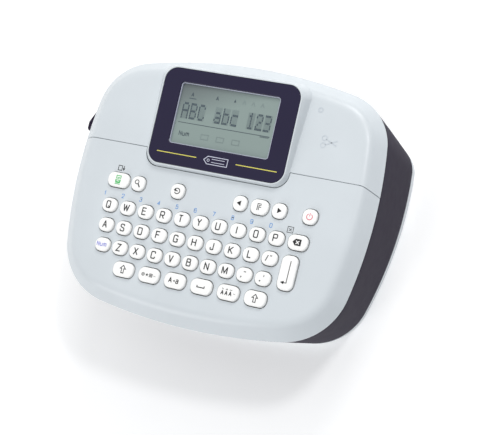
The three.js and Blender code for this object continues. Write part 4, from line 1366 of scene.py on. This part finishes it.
def button_cap():
    button = prism("cutter_button_cap", nose_outline()[::-1], BUTTON_LOW_Z, BUTTON_HIGH_Z)
    soften(button, 0.5, 3, 35.0)
    for i in range(4):
        y = SLOPE_END + 1.6 * i - 1.0
        out = np.interp(y, [SLOPE_END, BUTTON_Y1], [BUTTON_OUT, BUTTON_FOOT])
        combine(button, block("groove", (out - 3, y, BUTTON_LOW_Z + 2),
                              (out + 0.55, y + 0.55, BUTTON_HIGH_Z - 2)))
    return button


def add_cutter():
    flange = block("flange", (FLANGE_X, BUTTON_Y0 - FLANGE_THICKNESS, FLANGE_Z[0]),
                   (FLANGE_X + FLANGE_THICKNESS, ARM_Y + ARM, FLANGE_Z[1]))
    arm = block("arm", (FLANGE_X, ARM_Y, BUTTON_LOW_Z), (BLADE_X, ARM_Y + ARM, BUTTON_LOW_Z + ARM))
    holder = block("holder", (BLADE_X - ARM, ARM_Y, CUTTER_LOW[2]),
                   (BLADE_X, ARM_Y + ARM, BUTTON_LOW_Z + ARM))
    parts = [button_cap()] + [soften(p, 0.2) for p in (flange, arm, holder)]
    cutter = joined("cutter_button_moulding", parts)
    weigh_normals(cutter)
    place(cutter, "cutter_button", "case_charcoal", CHARCOAL, "cutter_button")


def add_blade():
    middle = ARM_Y + ARM / 2
    edge = np.array([(BLADE_X - 0.5, middle - 0.3), (BLADE_X + 1.4, middle - 0.02),
                     (BLADE_X + 1.4, middle + 0.02), (BLADE_X - 0.5, middle + 0.3)])
    blade = prism("cutter_blade", edge, CUTTER_LOW[2] + 0.4, DIVIDER_LOW - ROOM)
    place(blade, "cutter_button", "steel", STEEL)


add_cutter()
add_blade()


# ---------------------------------------------------------------- inside

def repaint(node, material):
    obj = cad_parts[node]
    obj.data.materials.clear()
    obj.data.materials.append(material)


def turned(name, profile, centre, axis, steps=32):
    """A closed solid of revolution; the profile is (distance along the axis, radius), ends at small radii."""
    angles = np.arange(steps) * 2 * math.pi / steps
    rings = []
    for along, radius in profile:
        ring = np.zeros((steps, 3))
        ring[:, axis] = along
        ring[:, (axis + 1) % 3] = radius * np.cos(angles)
        ring[:, (axis + 2) % 3] = radius * np.sin(angles)
        rings.append(ring + centre)
    return loft(name, rings)


CELL_RADIUS = 5.25
CELL_NUB = 0.8
CELL_LENGTH = (CELLS_HIGH[0] - CELLS_LOW[0] - CELL_NUB) / 2
CELL_PITCH = (CELLS_HIGH[1] - CELLS_LOW[1] - 2 * CELL_RADIUS) / 2
CELL_ROWS = [CELLS_HIGH[1] - CELL_RADIUS - row * CELL_PITCH for row in range(3)]

# Profiles of a cell along its axis: (distance, radius)
JACKET = [(0.25, 4.6), (0.15, 5.0), (0.3, CELL_RADIUS), (CELL_LENGTH - 1.1, CELL_RADIUS),
          (CELL_LENGTH - 0.9, 5.0), (CELL_LENGTH - 0.95, 4.6)]
BAND = [(30.5, 5.0), (30.5, CELL_RADIUS + 0.02), (CELL_LENGTH - 3, CELL_RADIUS + 0.02),
        (CELL_LENGTH - 3, 5.0)]
ENDS = [(0.0, 0.4), (0.0, 4.4), (0.4, 4.7), (CELL_LENGTH - 1.0, 4.7), (CELL_LENGTH - 0.8, 4.4),
        (CELL_LENGTH - 0.8, 2.1), (CELL_LENGTH - 0.2, 1.9), (CELL_LENGTH, 1.5), (CELL_LENGTH, 0.3)]


def all_cells(name, profile):
    """The same turned solid for each of the six cells, in one object."""
    centres = [(CELLS_LOW[0] + column * CELL_LENGTH, y, CELLS_LOW[2] + CELL_RADIUS)
               for column in range(2) for y in CELL_ROWS]
    return joined(name, [turned("cell", profile, centre, 0) for centre in centres])


def add_cells():
    place(all_cells("cell_jackets", JACKET), "case", "cell_jacket", CELL_BLUE, "battery_cells")
    place(all_cells("cell_bands", BAND), "case", "cell_jacket", CELL_BAND)
    place(all_cells("cell_ends", ENDS), "case", "steel", STEEL)


def add_contacts():
    plates = []
    for x in (CELLS_LOW[0] - 1.2, CELLS_HIGH[0] + 0.7):
        for y in CELL_ROWS:
            plate = block("contact", (x, y - 4.2, BAY_Z), (x + 0.5, y + 4.2, DIVIDER_LOW + 0.1))
            plates.append(soften(plate, 0.12))
    place(joined("cell_contacts", plates), "case", "steel", STEEL)


CASSETTE_CORNER = 6.0
CASSETTE_ROUND = 0.7
SPOOL_REACH = 17.0  # from the cassette's middle to a spool
SPOOL_XS = [(CASSETTE_LOW[0] + CASSETTE_HIGH[0]) / 2 + side * SPOOL_REACH for side in (-1, 1)]
SPOOL_Y = (CASSETTE_LOW[1] + CASSETTE_HIGH[1]) / 2


def cassette_rect(inset_x, inset_y, radius, steps=8):
    return rounded_rect(CASSETTE_LOW[0] + inset_x, CASSETTE_HIGH[0] - inset_x, CASSETTE_LOW[1] + inset_y,
                        CASSETTE_HIGH[1] - inset_y, radius, steps)


def cassette_levels():
    """(height, inset) of the cassette, with rounded edges and a groove where its halves meet."""
    low, high = CASSETTE_LOW[2], CASSETTE_HIGH[2]
    middle = (low + high) / 2
    levels = [(low + down, inward) for inward, down in quarter(4, CASSETTE_ROUND)[::-1]]
    levels += [(middle - 0.25, 0.0), (middle - 0.1, 0.18), (middle + 0.1, 0.18), (middle + 0.25, 0.0)]
    levels += [(high - down, inward) for inward, down in quarter(4, CASSETTE_ROUND)]
    return levels


def add_cassette():
    low, high = CASSETTE_LOW[2], CASSETTE_HIGH[2]
    shell = loft("cassette_shell", [at_height(cassette_rect(inset, inset, CASSETTE_CORNER - inset, 10), z)
                                    for z, inset in cassette_levels()])
    for x in SPOOL_XS:
        combine(shell, drum("spool_hole", x, SPOOL_Y, 5.0, low - 1, high + 1, 48))
    combine(shell, prism("label_recess", cassette_rect(25.5, 5, 1.5), low - 1, low + 0.3))
    soften(shell, 0.15, 2, 50.0)
    weigh_normals(shell)
    place(shell, "case", "cassette_black", CASSETTE_BLACK, "tape_cassette")


def add_spool_hubs():
    """A ring with six teeth in each spool hole."""
    low, high = CASSETTE_LOW[2], CASSETTE_HIGH[2]
    hubs = []
    for x in SPOOL_XS:
        ring = drum("hub", x, SPOOL_Y, 4.85, low + 0.8, high - 0.8, 48)
        combine(ring, drum("hub_bore", x, SPOOL_Y, 4.3, low, high, 48))
        hubs.append(ring)
        for i in range(6):
            tooth = block("tooth", (3.5, -0.4, low + 1.0), (4.5, 0.4, high - 1.0))
            turn = Matrix.Rotation(i * math.pi / 3, 4, "Z")
            tooth.data.transform(Matrix.Translation(Vector((x, SPOOL_Y, 0)) * MM) @ turn)
            hubs.append(tooth)
    place(joined("spool_hubs", hubs), "case", "key_white", KEY_WHITE)


def add_label_and_tape():
    """The cassette's blank label, and the tape from its corner past the print head."""
    x, y, z = CASSETTE_LOW
    label = prism("cassette_label", cassette_rect(25.8, 5.3, 1.2), z + 0.12, z + 0.35)
    place(label, "case", "key_white", FRAME_GREY)
    strip = Marking()
    strip.stroke([(x + 1.0, y + 6.0), (x - 1.0, y + 6.6), (TAPE_X + 0.8, y + 11.0), (TAPE_X, y + 15.0),
                  (TAPE_X, ARM_Y - 0.6)], 0.18)
    tape = strip.made("printed_tape", lambda px, py: z + 2.6, 12.0)
    place(tape, "case", "key_white", KEY_WHITE)


def gear_outline(teeth, start):
    radius = 0.4 * teeth
    root, tip = radius - 1.0, radius + 0.56
    step = 2 * math.pi / teeth
    half = (step - 0.5 / radius) / 4
    points = []
    for tooth in range(teeth):
        middle = start + tooth * step
        for turn, r in ((-1.5, root), (-0.9, radius - 0.1), (-0.5, tip - 0.06), (-0.35, tip), (0.35, tip),
                        (0.5, tip - 0.06), (0.9, radius - 0.1), (1.5, root)):
            points.append((r * math.cos(middle + turn * half), r * math.sin(middle + turn * half)))
    return np.array(points)


PLATEN_TEETH = 20
PINION_TEETH = 10


def add_platen():
    """The rubber roller, its steel shaft and the gear on top."""
    low = BAY_Z + 2 * ROOM
    high = DIVIDER_LOW - ROOM
    centre = (PLATEN_X, PLATEN_Y, 0)
    end = PLATEN_RADIUS - 0.3
    roller = turned("platen_rubber", [(low, 1.2), (low, end), (low + 0.3, PLATEN_RADIUS),
                                      (high - 0.3, PLATEN_RADIUS), (high, end), (high, 1.2)], centre, 2, 48)
    place(roller, "platen_roller", "rubber_black", RUBBER_BLACK, "platen_roller")
    foot = PLATEN_LOW[2]
    top = GEAR_TOP - 0.05
    shaft = turned("platen_shaft", [(foot, 0.2), (foot, 1.2), (foot + 0.3, 1.5), (top - 0.3, 1.5), (top, 1.2),
                                    (top, 0.2)], centre, 2)
    place(shaft, "platen_roller", "steel", STEEL)
    outline = gear_outline(PLATEN_TEETH, math.pi / PLATEN_TEETH) + [PLATEN_X, PLATEN_Y]
    gear = prism("platen_gear", outline, GEAR_Z, GEAR_TOP)
    place(soften(gear, 0.08, 1), "platen_roller", "key_white", KEY_WHITE)


def add_pinion():
    """The motor's small gear, half a tooth out of step with the platen's, and its shaft."""
    low, high = node_box("motor_pinion")
    x = (low[0] + high[0]) / 2
    top = high[2]
    pinion = prism("pinion_teeth", gear_outline(PINION_TEETH, 0) + [x, PLATEN_Y], GEAR_Z, GEAR_TOP)
    place(soften(pinion, 0.08, 1), "motor_pinion", "brass", BRASS, "motor_pinion")
    pin = turned("pinion_shaft", [(GEAR_Z, 0.2), (GEAR_Z, 0.8), (GEAR_Z + 0.2, 1.0), (top - 0.2, 1.0),
                                  (top, 0.8), (top, 0.2)], (x, PLATEN_Y, 0), 2)
    place(pin, "motor_pinion", "steel", STEEL)


def add_head():
    """The print head: a finned heat sink with a ceramic strip towards the platen."""
    low, high = HEAD_LOW, HEAD_HIGH
    sink = block("head_heat_sink", (low[0] + 0.5, low[1], low[2]), high)
    for i in range(4):
        y = low[1] + 2.2 + 2.4 * i
        combine(sink, block("fin_gap", (high[0] - 1.4, y, low[2] - 1), (high[0] + 1, y + 1.2, high[2] - 2)))
    place(soften(sink, 0.15), "case", "steel", STEEL, "print_head")
    strip = block("head_ceramic", (low[0], low[1] + 1, low[2] + 0.6),
                  (low[0] + 0.5, high[1] - 1, high[2] - 1))
    place(soften(strip, 0.12), "case", "key_white", KEY_WHITE)


repaint("main_board", BOARD_GREEN)
repaint("keypad_mat", RUBBER_GREY)
repaint("drive_motor", STEEL)
add_cells()
add_contacts()
add_cassette()
add_spool_hubs()
add_label_and_tape()
add_platen()
add_pinion()
add_head()
